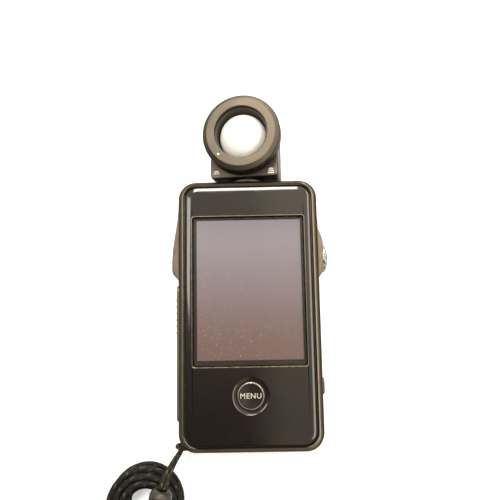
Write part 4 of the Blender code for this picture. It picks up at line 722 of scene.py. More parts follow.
class METER_OT_strap(bpy.types.Operator):
    """Make the coiled neck cord, the thin loop at the eyelet and the ferrule that joins them"""
    bl_idname = "meter.strap"
    bl_label = "Strap"

    def execute(self, context):
        size, colour = settings(context)
        along, across = ferrule_directions()
        ferrule_look = new_look("ferrule_dark_metal", colour.ferrule, 0.36, 0.3, Specular_IOR_Level=0.35)
        add_wear(ferrule_look, 0.002, 0.30, 0.46)
        ferrule = place("strap_ferrule_turned", self.ferrule_mesh(along), ferrule_look, "meter", "ferrule_metal",
                        ["strap_ferrule"], crease=50)
        lower = FERRULE_CENTRE + along * FERRULE_HALF
        start, end = lower - across * CORD_END_SPREAD, lower + across * CORD_END_SPREAD
        neck = np.vstack([start, COIL_CENTRE + np.array(NECK_LEAD_IN), coil_points(size.cord_diameter),
                          COIL_CENTRE + np.array(NECK_LEAD_OUT), end])
        neck = even_path(neck, NECK_STEP)
        look = braid_look("black_braid", colour.braid, colour.fleck, 0.06)
        cord = place("neck_cord_braided", braided_tube(neck, size.cord_diameter / 2, *NECK_BRAID),
                     look, "meter", "braid", ["neck_cord"], crease=80, even=False)
        loop = even_path(loop_points(), LOOP_STEP)
        thin_look = braid_look("thin_braid", colour.loop, LOOP_FLECK, 0.05)
        thin = place("loop_cord_braided", braided_tube(loop, size.loop_diameter / 2, *LOOP_BRAID),
                     thin_look, "meter", "braid", ["loop_cord"], crease=80, even=False)
        return {"FINISHED"}

    def ferrule_mesh(self, along):
        """A barrel with round shoulders and a bore: a profile turned about the strap's own line."""
        half, radius = FERRULE_HALF, FERRULE_RADIUS
        turn = quarter(8)
        foot = np.stack([radius * (0.52 + 0.48 * np.sin(turn)), -half + half * 0.55 * (1 - np.cos(turn))], 1)
        head = np.stack([radius * (0.72 + 0.28 * np.cos(turn)), half * (0.30 + 0.70 * np.sin(turn))], 1)
        bore = np.array([[radius * 0.60, half], [radius * 0.56, half * 0.72], [radius * 0.44, -half * 0.74],
                         [radius * 0.48, -half]])
        mesh = turned_mesh(np.vstack([foot, head, bore]), count=48, wrap=True)
        turn_to = Vector(along).to_track_quat("Z", "Y").to_matrix().to_4x4()
        mesh.transform(Matrix.Translation(FERRULE_CENTRE) @ turn_to)
        return mesh


# ---- Case


KEY_HEIGHT = 0.0100
MEASURE_Y = 0.0057
MEASURE_RADIUS = 0.0056
LONG_KEYS = {"memory": (0.0070, 0.0042, 0.0195, 0.0010), "power": (0.0067, 0.0044, -0.0449, 0.0015)}
GRIP_SPAN = (-0.0026, 0.0284, 0.0030, 0.0170)
GRIP_FORMS = {-1: (0.0006, 1.32, 0.0035, 1.0, 2.0), 1: (0.0004, 1.18, 0.0045, 0.60, 5.0)}
SEAT_DEPTH = 0.0009
STRIP_SPAN = (-0.0568, -0.0046, 0.0046, 0.0160)
FLAP_SPAN = (-0.0256, -0.0078, 0.0062, 0.0144)
SYNC_Y = -0.0450
SYNC_COVER_RADIUS = 0.0044
USB_HALF_WIDTH = 0.0042
PLATE = (0.0176, 0.0192)
MENU_Y = -0.0465
MENU_RADIUS = 0.0052
DISH_RADIUS = 0.00715
KEY_FLANGE = 0.0062
DOOR_SPAN = (-0.0134, 0.0229, -0.0681, -0.0151)
DOOR_PLATE = 0.0016
BAY_SPAN = (-0.00635, 0.01585, -0.0645, -0.0178)
BAY_TOP = 0.0127
TUB_FLOOR = 0.0032
LUG_CORNER = 0.0190
PARTING = (0.0102, 0.0105)
SCREWS = ((-0.0211, 0.0303), (0.0211, 0.0303), (-0.0173, -0.0450), (0.0239, -0.0101))
RING_Y = 0.0545
OVERCUT = 0.001
RECESS_CORNER = 0.0053
GLASS_CORNER = 0.0009
SHAFT_HOLE = 0.0039


def case_outline(size, inset, radius_floor=0.0022, lug=None):
    """The case's outline drawn in by an inset; the eyelet's corner may be rounder."""
    half = CASE_HIGH.x
    radius = max(size.case_corner - inset, radius_floor)
    return corner_outline(-half + inset, half - inset, CASE_LOW.y + inset, CASE_HIGH.y - inset,
                          (lug or radius, radius, radius, radius), 14)


def key_outline(length_, width, middle, grow=0.0):
    """A long key seen from its flank: a rectangle with round ends."""
    half_long, half_wide = length_ / 2 + grow, width / 2 + grow
    return corner_outline(middle - half_long, middle + half_long, KEY_HEIGHT - half_wide, KEY_HEIGHT + half_wide,
                          half_wide * 0.999, 12)


def flank_cutters(size):
    """Seats for grips and strip, and the holes of keys, sockets and swivel shaft."""
    half, gap = CASE_HIGH.x, size.gap
    reach, inner, seat = half + OVERCUT, half - size.wall - OVERCUT, half - SEAT_DEPTH
    grip = corner_outline(*grown(GRIP_SPAN, gap), 0.0012, 5)
    strip = corner_outline(*grown(STRIP_SPAN, gap), 0.0022, 5)
    usb_y = (FLAP_SPAN[0] + FLAP_SPAN[1]) / 2
    return [*(flank_slab(grip, side * seat, side * reach) for side in (-1, 1)),
            flank_slab(strip, -seat, -reach),
            bore(MEASURE_RADIUS + gap, inner, reach, (0, MEASURE_Y, KEY_HEIGHT), "X", 48),
            *(flank_slab(key_outline(*key[:3], gap), inner, reach) for key in LONG_KEYS.values()),
            block_mesh((-reach, usb_y - USB_HALF_WIDTH, 0.0096), (-inner, usb_y + USB_HALF_WIDTH, 0.0138)),
            bore(0.0033, -reach, -inner, (0, SYNC_Y, KEY_HEIGHT), "X", 32),
            bore(SHAFT_HOLE, CASE_HIGH.y - size.wall - OVERCUT, CASE_HIGH.y + OVERCUT, (0, 0, SWIVEL_POINT.z), "Y",
                 32)]


class METER_OT_case(bpy.types.Operator):
    """Make the front and rear shells with their seats, holes and eyelet"""
    bl_idname = "meter.case"
    bl_label = "Case"

    def execute(self, context):
        size, colour = settings(context)
        place("case_front", self.front(size), frame_paint(colour), "meter", "front_plastic", ["front_case"])
        place("case_rear", self.rear(size), rear_paint(colour), "meter", "rear_plastic", ["rear_case"])
        return {"FINISHED"}

    def front(self, size):
        """Rings from the window, out over the rim, down the flank and back up inside the wall."""
        recess = grown(PANEL_SPAN, size.gap)
        window = corner_outline(*grown(GLASS_SPAN, size.gap), GLASS_CORNER, 14)
        rings = [level(window, height) for height in PLATE]
        rings.append(level(corner_outline(*recess, RECESS_CORNER, 14), PLATE[1]))
        soft = 0.00035
        for inward, downward in round_edge(5)[::-1]:
            spread = soft * inward
            rings.append(level(corner_outline(*grown(recess, spread), RECESS_CORNER + spread, 14),
                               FRONT_TOP - soft * downward))
        steps = [(size.front_edge * inward, FRONT_TOP - size.front_edge_drop * downward)
                 for inward, downward in round_edge(12)]
        steps += [(0, PARTING[1] + 0.00025), (0.0002, PARTING[1]), (size.wall, PARTING[1]), (size.wall, PLATE[0])]
        rings += [level(case_outline(size, inset), height) for inset, height in steps]
        hole = bore(0.0065, PLATE[0] - OVERCUT, FRONT_TOP, (0, MENU_Y, 0))
        return carve(grid_mesh(rings, wrap_rows=True), [hole, *flank_cutters(size)])

    def rear(self, size):
        """Rings over the back's rounded edge, up the flank and down inside to the tub's floor."""
        seam, gap, deep = PARTING[0], size.gap, -OVERCUT
        rings = [level(case_outline(size, size.back_edge * inward), size.back_edge_rise * upward)
                 for inward, upward in round_edge(12)]
        rings += [level(case_outline(size, 0), seam - 0.00025), level(case_outline(size, 0.0002), seam)]
        rings += [level(case_outline(size, size.wall, lug=LUG_CORNER), height) for height in (seam, TUB_FLOOR)]
        bay_left, bay_right, bay_foot, bay_head = BAY_SPAN
        shell = block_mesh((bay_left - 0.001, CASE_LOW.y + size.wall + gap, 0.0016),
                           (bay_right + 0.001, bay_head + 0.001, BAY_TOP + 0.0008))
        mesh = carve(grid_mesh(rings), [shell], "UNION")
        left, right, foot, head = DOOR_SPAN
        low = foot - OVERCUT
        cutters = [block_mesh((bay_left, bay_foot, deep), (bay_right, bay_head, BAY_TOP)),
                   block_mesh((left - gap, low, deep), (right + gap, head + gap, DOOR_PLATE + gap)),
                   block_mesh((left - 0.0011, low, 0.0005), (right + 0.0011, head + gap, DOOR_PLATE + gap)),
                   block_mesh((left - gap, low, deep), (right + gap, bay_foot - 0.0015, seam + OVERCUT)),
                   turned_mesh([(0.0022, 0.0038), (0.0046, 0.0038), (0.0046, 0.0082), (0.0022, 0.0082)],
                               (LUG_POST[0], LUG_POST[1], 0), "Z", 48, wrap=True)]
        pocket = [(0.0020, deep), (0.0020, 0.0019), (0.0011, 0.0019), (0.0011, 0.0045)]
        cutters += [turned_mesh(pocket, (x, y, 0), "Z", 32) for x, y in SCREWS]
        return carve(mesh, [*cutters, *flank_cutters(size)])


class METER_OT_door(bpy.types.Operator):
    """Make the sliding battery door with its finger ribs, and the case screws"""
    bl_idname = "meter.door"
    bl_label = "Battery door and screws"

    def execute(self, context):
        colour = settings(context)[1]
        left, right, foot, head = DOOR_SPAN
        edge, corner = 0.0003, 0.0012
        rings = [level(corner_outline(*grown(DOOR_SPAN, -edge * inward), corner - edge * inward, 8), edge * upward)
                 for inward, upward in round_edge(5)]
        rings.append(level(corner_outline(*DOOR_SPAN, corner, 8), DOOR_PLATE))
        tongues = block_mesh((left - 0.0008, CASE_LOW.y + 0.002, 0.0008), (right + 0.0008, head - 0.0012, DOOR_PLATE))
        end_wall = slab(corner_outline(left, right, foot, foot + 0.0018, 0.0006, 6), 0.0008, PARTING[0] - 0.0003)
        mesh = carve(grid_mesh(rings), [tongues, end_wall], "UNION")
        middle, half, rib = (left + right) / 2, 0.008, 0.0016
        grooves = [block_mesh((middle - half, head - (index + 2) * rib, -OVERCUT),
                              (middle + half, head - (index + 2) * rib + rib / 2, 0.0004)) for index in range(5)]
        place("battery_door_shell", carve(mesh, grooves), rear_paint(colour), "door", "rear_plastic",
              ["battery_door"])
        profile = [(TINY, 0.0005), (0.0015, 0.0005), (0.0017, 0.0007), (0.0017, 0.0016), (0.0008, 0.0016),
                   (0.0008, 0.0160)]
        long_arm, thin_arm = 0.0011, 0.00017
        for number, (x, y) in enumerate(SCREWS, start=1):
            screw = turned_mesh(profile, (x, y, 0), "Z", 32)
            slots = [block_mesh((x - a, y - b, -OVERCUT), (x + a, y + b, 0.0011))
                     for a, b in ((long_arm, thin_arm), (thin_arm, long_arm))]
            place("case_screw_%d_turned" % number, carve(screw, slots), plated_steel(), "meter", "steel",
                  ["case_screw_%d" % number])
        return {"FINISHED"}


# ---- Panel and screen

SCREEN_REFLECTION_FADE = (-0.034, 0.020)
SCREEN_PICTURE = (("X", -0.0203, 0.0206), ("Y", -0.0335, 0.0208))
SCREEN_BORDER = (0.012, 0.009, 0.006, 1.0)
DUST_SIZE = 0.00045
DUST_SHARES = (0.69, 0.74, 0.0, 0.55)
DUST_COLOUR = (0.80, 0.76, 0.72, 1.0)


class METER_OT_panel(bpy.types.Operator):
    """Make the glossy panel with its pillowed border, window and key dish"""
    bl_idname = "meter.panel"
    bl_label = "Front panel"

    def execute(self, context):
        size, colour = settings(context)
        low, high = PANEL_LOW, PANEL_HIGH
        rings = [level(corner_outline(low.x, high.x, low.y, high.y, 0.0050, 14), low.z)]
        for share in np.linspace(0, 1, 13):
            turn = math.pi / 2 * share
            inward = 1 - math.cos(turn)
            side, head = size.pillow_side * inward, size.pillow_head * inward
            outline = corner_outline(low.x + side, high.x - side, low.y + side, high.y - head,
                                     0.0050 - 0.0022 * inward, 14)
            rings.append(level(outline, high.z - size.pillow_drop * (1 - math.sin(turn))))
        gap, chamfer = size.gap, 0.00022
        rings += [level(corner_outline(*grown(GLASS_SPAN, grow), GLASS_CORNER, 14), height)
                  for grow, height in ((gap + chamfer, high.z), (gap, high.z - chamfer), (gap, low.z))]
        slope = quarter(8)
        wall = MENU_RADIUS + gap
        dish = np.stack([wall + (DISH_RADIUS - MENU_RADIUS - gap) * np.sin(slope), high.z - 0.00055 * np.cos(slope)],
                        1)
        profile = np.vstack([[wall, low.z - OVERCUT], dish, [DISH_RADIUS, high.z + OVERCUT]])
        mesh = carve(grid_mesh(rings, wrap_rows=True),
                     [turned_mesh(profile, (0, MENU_Y, 0), "Z", 96)])
        place("front_panel_gloss", mesh, gloss_look("panel_gloss", colour.panel), "meter", "gloss_panel",
              ["front_panel"])
        lip = [level(corner_outline(*grown(GLASS_SPAN, gap + grow), GLASS_CORNER, 14), high.z + rise)
               for grow, rise in ((-0.00003, -0.00045), (-0.00003, -0.00014), (0.00010, 0.00002),
                                  (0.00026, 0.00002), (0.00030, -0.00003), (0.00030, -0.00045))]
        place("window_lip", grid_mesh(lip, wrap_rows=True), metal_look("lip_bronze", colour.lip, 0.28),
              "meter", "silver_key")
        return {"FINISHED"}


class METER_OT_screen(bpy.types.Operator):
    """Finish the display and its cover glass"""
    bl_idname = "meter.screen"
    bl_label = "Screen"

    def execute(self, context):
        edge, corner = 0.00015, 0.0006
        rings = [level(corner_outline(*grown(GLASS_SPAN, grow), corner, 8), height)
                 for grow, height in ((0, GLASS_LOW.z), (0, GLASS_HIGH.z - edge), (-edge, GLASS_HIGH.z))]
        glass = new_look("cover_glass", (0.03, 0.028, 0.03), 0.03, Alpha=0.12)
        place("screen_cover", grid_mesh(rings), glass, "meter", "screen_glass", ["screen_glass"])
        dress("display_module", self.display_look(settings(context)[1]))
        return {"FINISHED"}

    def display_look(self, colour):
        """An unlit, slightly dusty display inside a black border, its own grey tone with a painted reflection: cool
        at its head end, warm at its foot.
        """
        material = new_look("display_face", colour.screen_head_painted_reflection, 0.35)
        tree = material.node_tree
        spot = split_place(tree, "Object")
        # Painted reflection: the tone fades from the head colour to the warm foot colour down the screen.
        tone_and_reflection = blend(tree, remap(tree, spot["Y"], *SCREEN_REFLECTION_FADE, smooth=True), (*colour.screen_foot_painted_reflection, 1.0),
                        (*colour.screen_head_painted_reflection, 1.0))
        dust = remap(tree, object_noise(tree, DUST_SIZE, 1.0), *DUST_SHARES)
        inside = 1.0
        for axis, low, high in SCREEN_PICTURE:
            for limit, test in ((low, "GREATER_THAN"), (high, "LESS_THAN")):
                inside = maths(tree, "MULTIPLY", maths(tree, test, spot[axis], limit), inside)
        dusty = blend(tree, dust, tone_and_reflection, DUST_COLOUR)
        finish_with(material, {"Base Color": blend(tree, inside, SCREEN_BORDER, dusty)})
        return material


# ---- Keys and flanks


class METER_OT_menu_key(bpy.types.Operator):
    """Make the round menu key with its printed word"""
    bl_idname = "meter.menu_key"
    bl_label = "Menu key"

    def execute(self, context):
        size, colour = settings(context)
        face = PANEL_HIGH.z - 0.0001
        edge = 0.00045
        turn = quarter(6)
        rim = np.stack([MENU_RADIUS - edge + edge * np.cos(turn), face - edge + edge * np.sin(turn)], 1)
        crown = np.array([[MENU_RADIUS * 0.80, face - 0.00003], [MENU_RADIUS * 0.5, face - 0.00012],
                          [MENU_RADIUS * 0.2, face - 0.00016], [0.00001, face - 0.00017]])
        base = PANEL_LOW.z - size.gap
        foot = np.array([[0.0018, base - 0.0022], [0.0018, base - 0.0007], [KEY_FLANGE, base - 0.0007],
                         [KEY_FLANGE, base], [MENU_RADIUS, base]])
        mesh = turned_mesh(np.vstack([foot, rim, crown]), (0, MENU_Y, 0), "Z", 96)
        place("menu_key_gloss", mesh, gloss_look("key_gloss", shade(colour.panel, 2.0)), "menu_button", "gloss_panel",
              ["menu_key"])
        bevel = [(MENU_RADIUS - 0.00062, face - 0.00010), (MENU_RADIUS - 0.00058, face + 0.00001),
                 (MENU_RADIUS - 0.00036, face + 0.00003), (MENU_RADIUS - 0.00012, face - 0.00010),
                 (MENU_RADIUS - 0.00030, face - 0.00030)]
        place("menu_key_rim", turned_mesh(bevel, (0, MENU_Y, 0), "Z", 96, wrap=True),
              metal_look("key_silver", shade(colour.silver, 0.9), 0.25), "menu_button", "silver_key")
        self.word(face - 0.00014, colour)
        return {"FINISHED"}

    def word(self, height, colour):
        """The plain word on the key, as a thin raised print."""
        curve = bpy.data.curves.new("menu_word", "FONT")
        curve.body = "MENU"
        curve.size = 0.0028
        curve.space_character = 1.12
        curve.align_x = "CENTER"
        curve.align_y = "CENTER"
        curve.extrude = 0.00004
        curve.offset = 0.00002
        text = new_object("menu_word", curve)
        bpy.context.view_layer.update()
        mesh = bpy.data.meshes.new_from_object(text.evaluated_get(bpy.context.evaluated_depsgraph_get()))
        bpy.data.objects.remove(text)
        mesh.transform(Matrix.Translation((0, MENU_Y, height + 0.0001)))
        place("menu_word", mesh, new_look("print_silver", shade(colour.silver, 1.8), 0.4), "menu_button",
              "silver_key",
              even=False)


def grip_bulge(along, side, size):
    """Swell of a grip by its way along: the square of one less a power of the share of the way to its end."""
    proud, swell, peak, fade, power = GRIP_FORMS[side]
    toward_head = along > peak
    reach = np.where(toward_head, (GRIP_SPAN[1] - peak) * fade, peak - GRIP_SPAN[0])
    share = np.clip(np.abs(along - peak) / reach, 0, 1)
    return proud + swell * size.grip_bulge * (1 - share ** np.where(toward_head, power, 4.0)) ** 2


def grip_surface(side, size):
    """A pad on a grid: along the flank by round its section.

    The section is flat on its seat and follows the cosine of the turn in height and the sine to the
    power two thirds outwards, scaled by the swell at that place.
    """
    along = np.linspace(GRIP_SPAN[0], GRIP_SPAN[1], 90)[:, None]
    turn = np.linspace(0, math.pi, 25)[None, :]
    inner, edge = CASE_HIGH.x - SEAT_DEPTH + size.gap, CASE_HIGH.x - size.gap
    half, middle = (GRIP_SPAN[3] - GRIP_SPAN[2]) / 2, (GRIP_SPAN[3] + GRIP_SPAN[2]) / 2
    outward = edge + (CASE_HIGH.x + grip_bulge(along, side, size) - edge) * np.sin(turn) ** (2 / 3)
    crown = np.stack([outward, np.broadcast_to(along, outward.shape),
                      np.broadcast_to(middle + half * np.cos(turn), outward.shape)], -1)
    flat = np.stack([np.broadcast_to([inner, 0, height], (len(along), 3))
                     for height in (GRIP_SPAN[2], GRIP_SPAN[3])], 1)
    flat = flat + np.array([0, 1, 0]) * along[:, :, None]
    points = np.concatenate([flat, crown], 1) * (side, 1, 1)
    return grid_mesh(points)


class METER_OT_flanks(bpy.types.Operator):
    """Make the grips, the side keys and the socket strip with its covers"""
    bl_idname = "meter.flanks"
    bl_label = "Flanks"

    def execute(self, context):
        size, colour = settings(context)
        rubber = new_look("grip_rubber_fine", colour.rubber, 0.75)
        add_grain(rubber, 0.00045, 0.00004, 3.0)
        add_mottle(rubber, shade(colour.rubber, 0.82), shade(colour.rubber, 1.15), 0.004)
        self.grips(size, rubber)
        self.keys(size, colour)
        self.strip(size, colour, rubber)
        return {"FINISHED"}

    def grips(self, size, rubber):
        """Two pads; the right one has the holes of two keys."""
        place("grip_pad_left", grip_surface(-1, size), rubber, "meter", "grip_rubber", ["grip_left"], 50)
        seat, far = CASE_HIGH.x - 0.003, CASE_HIGH.x + 0.006
        holes = [bore(MEASURE_RADIUS + size.gap, seat, far, (0, MEASURE_Y, KEY_HEIGHT), "X"),
                 flank_slab(key_outline(*LONG_KEYS["memory"][:3], size.gap), seat, far)]
        pad = carve(grip_surface(1, size), holes)
        place("grip_pad_right", pad, rubber, "meter", "grip_rubber", ["grip_right"], 50)

    def keys(self, size, colour):
        """The round measuring key, pebbled, and the two long ones."""
        base, flange = CASE_HIGH.x - size.wall - 0.0011, CASE_HIGH.x - size.wall - 0.0003
        face, crown_height, flange_width = CASE_HIGH.x + 0.0045, 0.0016, 0.0009
        turn = quarter(9)
        crown = np.stack([np.minimum(MEASURE_RADIUS * np.cos(turn) + TINY, MEASURE_RADIUS),
                          face - crown_height + crown_height * np.sin(turn)], 1)
        profile = np.vstack([[MEASURE_RADIUS + flange_width, base], [MEASURE_RADIUS + flange_width, flange],
                             [MEASURE_RADIUS, flange], crown])
        silver = new_look("silver_pebble", colour.silver, 0.34, 0.75)
        pebble = 0.00065
        add_grain(silver, pebble, 0.00024)
        # Painted shade and highlight: the mottle shares the grain's noise, so each pebble is darker in its hollows
        # and lighter on its crest.
        add_mottle(silver, shade(colour.silver, 0.30), shade(colour.silver, 1.5), pebble, 0.42, 0.58, 1.0)
        place("measure_key_silver", turned_mesh(profile, (0, MEASURE_Y, KEY_HEIGHT), "X", 64),
              silver, "measure_button", "silver_key", ["measure_key"], 50)
        dark = matte_look("key_black", (0.05, 0.043, 0.034), 0.4)
        soft = 0.0005
        for name, (span, width, middle, proud) in LONG_KEYS.items():
            top = CASE_HIGH.x + proud
            steps = [(flange_width, base), (flange_width, flange), (0.0, flange)]
            steps += [(-soft * inward, top - soft * downward) for inward, downward in round_edge(6)[::-1]]
            steps.append((-0.0014, top + 0.00005))
            mesh = grid_mesh([upright(key_outline(span, width, middle, grow), x) for grow, x in steps])
            place("%s_key_cap" % name, mesh, dark, "%s_button" % name, "black_plastic", ["%s_key" % name], 50)

    def strip(self, size, colour, rubber):
        """A plate let into the left flank, with a ribbed flap and a round cap."""
        inner, outer = -(CASE_HIGH.x - SEAT_DEPTH + size.gap), -(CASE_HIGH.x + 0.0009)
        soft, radius, centre = 0.0002, SYNC_COVER_RADIUS, (0, SYNC_Y, KEY_HEIGHT)
        outline = corner_outline(*STRIP_SPAN, 0.0020, 8)
        shrunk = corner_outline(*grown(STRIP_SPAN, -soft), 0.0018, 8)
        plate = grid_mesh([upright(outline, inner), upright(outline, outer + soft), upright(shrunk, outer)])
        hole = corner_outline(*grown(FLAP_SPAN, size.gap), 0.0015, 6)
        cutters = [flank_slab(hole, inner + OVERCUT, outer - OVERCUT),
                   bore(radius + size.gap, outer - OVERCUT, inner + OVERCUT, centre, "X", 48)]
        place("socket_plate", carve(plate, cutters), frame_paint(colour), "meter", "front_plastic", ["socket_strip"])
        skin = outer - 0.0003
        flap = flank_slab(corner_outline(*FLAP_SPAN, 0.0012, 6), inner, skin)
        border, rib_half, taper, count = 0.0012, 0.0005, 0.0002, 6
        pitch = (FLAP_SPAN[1] - FLAP_SPAN[0] - 2 * border) / count
        ribs = []
        for index in range(count):
            middle = FLAP_SPAN[0] + border + (index + 0.5) * pitch
            rib = (middle - rib_half, middle + rib_half, FLAP_SPAN[2] + border, FLAP_SPAN[3] - border)
            foot, tip = corner_outline(*rib, 0.00045, 4), corner_outline(*grown(rib, -taper), 0.00028, 4)
            ribs.append(grid_mesh([upright(foot, skin + 0.0003), upright(foot, skin - 0.00025),
                                          upright(tip, skin - 0.0004)]))
        place("usb_flap_ribbed", carve(flap, ribs, "UNION"), rubber, "usb_cover", "grip_rubber", ["usb_flap"])
        profile = [(radius, inner), (radius, skin + 0.0003), (radius - 0.0003, skin),
                   (radius - 0.0012, skin - 0.00002), (TINY, skin - 0.00002)]
        place("sync_cap_round", turned_mesh(profile, centre, "X", 64), rubber, "sync_cover",
              "grip_rubber", ["sync_cap"])


# ---- Head


HEAD_BACK = 0.0022
HEAD_FACE = 0.0182
RING_FACE = 0.0260
RING_RADIUS = 0.0155
RING_BORE = 0.0104
RING_PROFILE = ((RING_BORE, 0.0248), (RING_BORE, 0.0256), (0.01045, 0.02585), (0.0107, RING_FACE),
                (0.0108, RING_FACE),
                (0.01342, RING_FACE), (0.01352, RING_FACE), (0.01362, 0.02595), (0.01372, 0.02588),
                (0.01510, 0.02479),
                (0.01515, 0.02475), (0.01535, 0.0245), (0.01548, 0.0242), (0.01548, 0.0241), (RING_RADIUS, 0.0239),
                (RING_RADIUS, 0.0230), (RING_RADIUS, 0.0200), (RING_RADIUS, 0.0193), (0.01535, 0.0190),
                (0.0146, 0.0185),
                (0.01195, 0.0185), (0.01195, 0.0063), (0.01085, 0.0063), (0.01085, 0.0248))
KNURL_SPAN = (0.0191, 0.02405)
KNURL_INNER = 0.0154
KNURL_DEPTH = 0.00032
INDEX_TURN = math.radians(223.0)
SLOT_HALF = 0.00115
SLOT_START = 0.00865
DOME_LIFT = 0.0075


def head_outline(grow=0.0):
    """A tombstone: straight flanks, a square foot with small corners, a half circle about the ring's centre."""
    half, foot, corner = 0.01375 + grow, 0.0384 - grow, max(0.0015 + grow, 0.0003)
    turns = np.radians([180, 270])[:, None] + quarter(8)[None, :]
    corner_x = np.array([[-half + corner], [half - corner]])
    foot_points = np.stack([(corner_x + corner * np.cos(turns)).ravel(),
                            (foot + corner + corner * np.sin(turns)).ravel()], 1)
    turn = np.linspace(0, math.pi, 60)
    return np.vstack([foot_points, np.stack([half * np.cos(turn), RING_Y + half * np.sin(turn)], 1)])


class METER_OT_head(bpy.types.Operator):
    """Make the swivelling head's block, cover, collar and printed marks"""
    bl_idname = "meter.head"
    bl_label = "Head"

    def execute(self, context):
        colour = settings(context)[1]
        shell = slope_shaded_paint_look("shell_paint", colour.shell, colour.shell_painted_shade)
        back, face, edge = HEAD_BACK, HEAD_FACE, 0.0007
        shares = round_edge(6)
        steps = [(inward, back + edge * upward) for inward, upward in shares]
        steps += [(inward, face - edge * upward) for inward, upward in shares[::-1]]
        mesh = carve(grid_mesh([level(head_outline(-edge * inward), height) for inward, height in steps]),
                     [bore(0.01225, back - OVERCUT, face + OVERCUT, (0, RING_Y, 0), "Z", 96),
                      bore(SHAFT_HOLE, 0.0374, 0.0420, (0, 0, SWIVEL_POINT.z), "Y", 32)])
        mesh.transform(HEAD_TURN)
        place("head_block_shell", mesh, shell, "head", "front_plastic", ["head_block"])
        cover = turned_mesh([(0.01195, 0.0034), (0.01195, 0.0026), (0.01155, 0.0022), (0.0080, 0.0022),
                                                (0.0078, 0.0024), (0.0074, 0.0024), (0.0072, 0.0022), (TINY, 0.0022)],
                            (0, RING_Y, 0), "Z", 96)
        cover.transform(HEAD_TURN)
        place("head_cover_disc", cover, moulded_black(), "head", "black_plastic", ["head_rear_cover"])
        profile = [(SHAFT_HOLE, 0.0369), (0.0075, 0.0369), (0.0075, 0.0376), (0.0072, 0.0380), (0.0068, 0.0381),
                   (SHAFT_HOLE, 0.0381)]
        collar = turned_mesh(profile, (0, 0, SWIVEL_POINT.z), "Y", 64, wrap=True)
        place("collar_turned", collar, shell, "meter", "black_plastic", ["swivel_collar"])
        self.marks(face, marks_white(colour))
        return {"FINISHED"}

    def marks(self, face, white):
        """Two small signs: a half dome over a bar for a raised dome, and a half dome over two for a sunken one."""
        low, high = face - 0.00005, face + 0.00003
        turn = np.linspace(0, math.pi, 20)
        meshes = []
        for x, bars in ((-0.0112, (0.0,)), (0.0108, (0.0, -0.00075))):
            dome = np.stack([x + 0.00105 * np.cos(turn), 0.0409 + 0.00085 * np.sin(turn)], 1)
            meshes.append(slab(dome, low, high))
            meshes += [block_mesh((x - 0.0012, 0.0402 + drop, low), (x + 0.0012, 0.0406 + drop, high))
                       for drop in bars]
        signs = joined(meshes)
        signs.transform(HEAD_TURN)
        place("head_signs", signs, white, "head", "white_dome", even=False)


class METER_OT_ring(bpy.types.Operator):
    """Make the knurled retracting ring with its index notch, a black strip of painted shade in it, and its dot"""
    bl_idname = "meter.ring"
    bl_label = "Retracting ring"

    def execute(self, context):
        size, colour = settings(context)
        heading = Matrix.Translation((0, RING_Y, 0)) @ Matrix.Rotation(INDEX_TURN, 4, "Z")
        line = block_mesh((RING_BORE, -0.00012, 0.0257), (0.0121, 0.00012, 0.0270))
        line.transform(heading)
        slots = [self.cam_slot(math.pi / 2 + math.tau * index / 3) for index in range(3)]
        mesh = carve(self.ring_mesh(size.knurl_teeth), [line, *slots])
        mesh.transform(HEAD_TURN)
        place("ring_knurled", mesh, slope_shaded_paint_look("ring_paint", colour.shell, colour.shell_painted_shade, 0.40), "ring",
              "front_plastic",
              ["retracting_ring"])
        # Painted shade: a black strip fills the index notch where its shadow would fall.
        notch_shade_strip = block_mesh((RING_BORE, -0.00020, 0.0256), (0.0124, 0.00020, 0.02603))
        notch_shade_strip.transform(HEAD_TURN @ heading)
        place("ring_notch_shade_strip", notch_shade_strip, moulded_black(), "ring", "black_plastic", even=False)
        dot = turned_mesh([(0.00042, 0.0259), (0.00042, 0.02602), (0.00036, 0.02606), (TINY, 0.02606)],
                          count=24)
        dot.transform(HEAD_TURN @ Matrix.Translation((-0.0088, RING_Y - 0.0085, 0)))
        place("ring_index_dot", dot, marks_white(colour), "ring", "white_dome", even=False)
        return {"FINISHED"}

    def ring_mesh(self, teeth):
        """The ring's profile turned about its axis, with ribs on the side wall.

        Along the wall the radius is the crest less the rib depth times a rounded square wave of the turn.
        """
        count = teeth * 6
        turn = np.linspace(0, math.tau, count, endpoint=False)[None, :]
        profile = np.array(RING_PROFILE)
        heights = profile[:, 1:]
        knurled = (heights < KNURL_SPAN[1]) & (heights > KNURL_SPAN[0]) & (profile[:, :1] > KNURL_INNER)
        wave = np.clip(1.6 * np.sin(teeth * turn), -1, 1) / 2 + 0.5
        radius = profile[:, :1] - KNURL_DEPTH * knurled * wave
        points = np.stack([radius * np.cos(turn), RING_Y + radius * np.sin(turn), np.repeat(heights, count, 1)], -1)
        return grid_mesh(points, wrap_rows=True)

    def cam_slot(self, first):
        """A helical slot through the sleeve: it climbs the dome's lift over the ring's quarter turn."""
        back = np.radians(np.linspace(-6, 96, 24))
        middle = SLOT_START + np.clip(back / (math.pi / 2), 0, 1) * DOME_LIFT
        section = ((0.0103, -SLOT_HALF), (0.0125, -SLOT_HALF), (0.0125, SLOT_HALF), (0.0103, SLOT_HALF))
        return grid_mesh([[(radius * math.cos(turn), RING_Y + radius * math.sin(turn), height + lift)
                                   for radius, lift in section] for turn, height in zip(first - back, middle)])


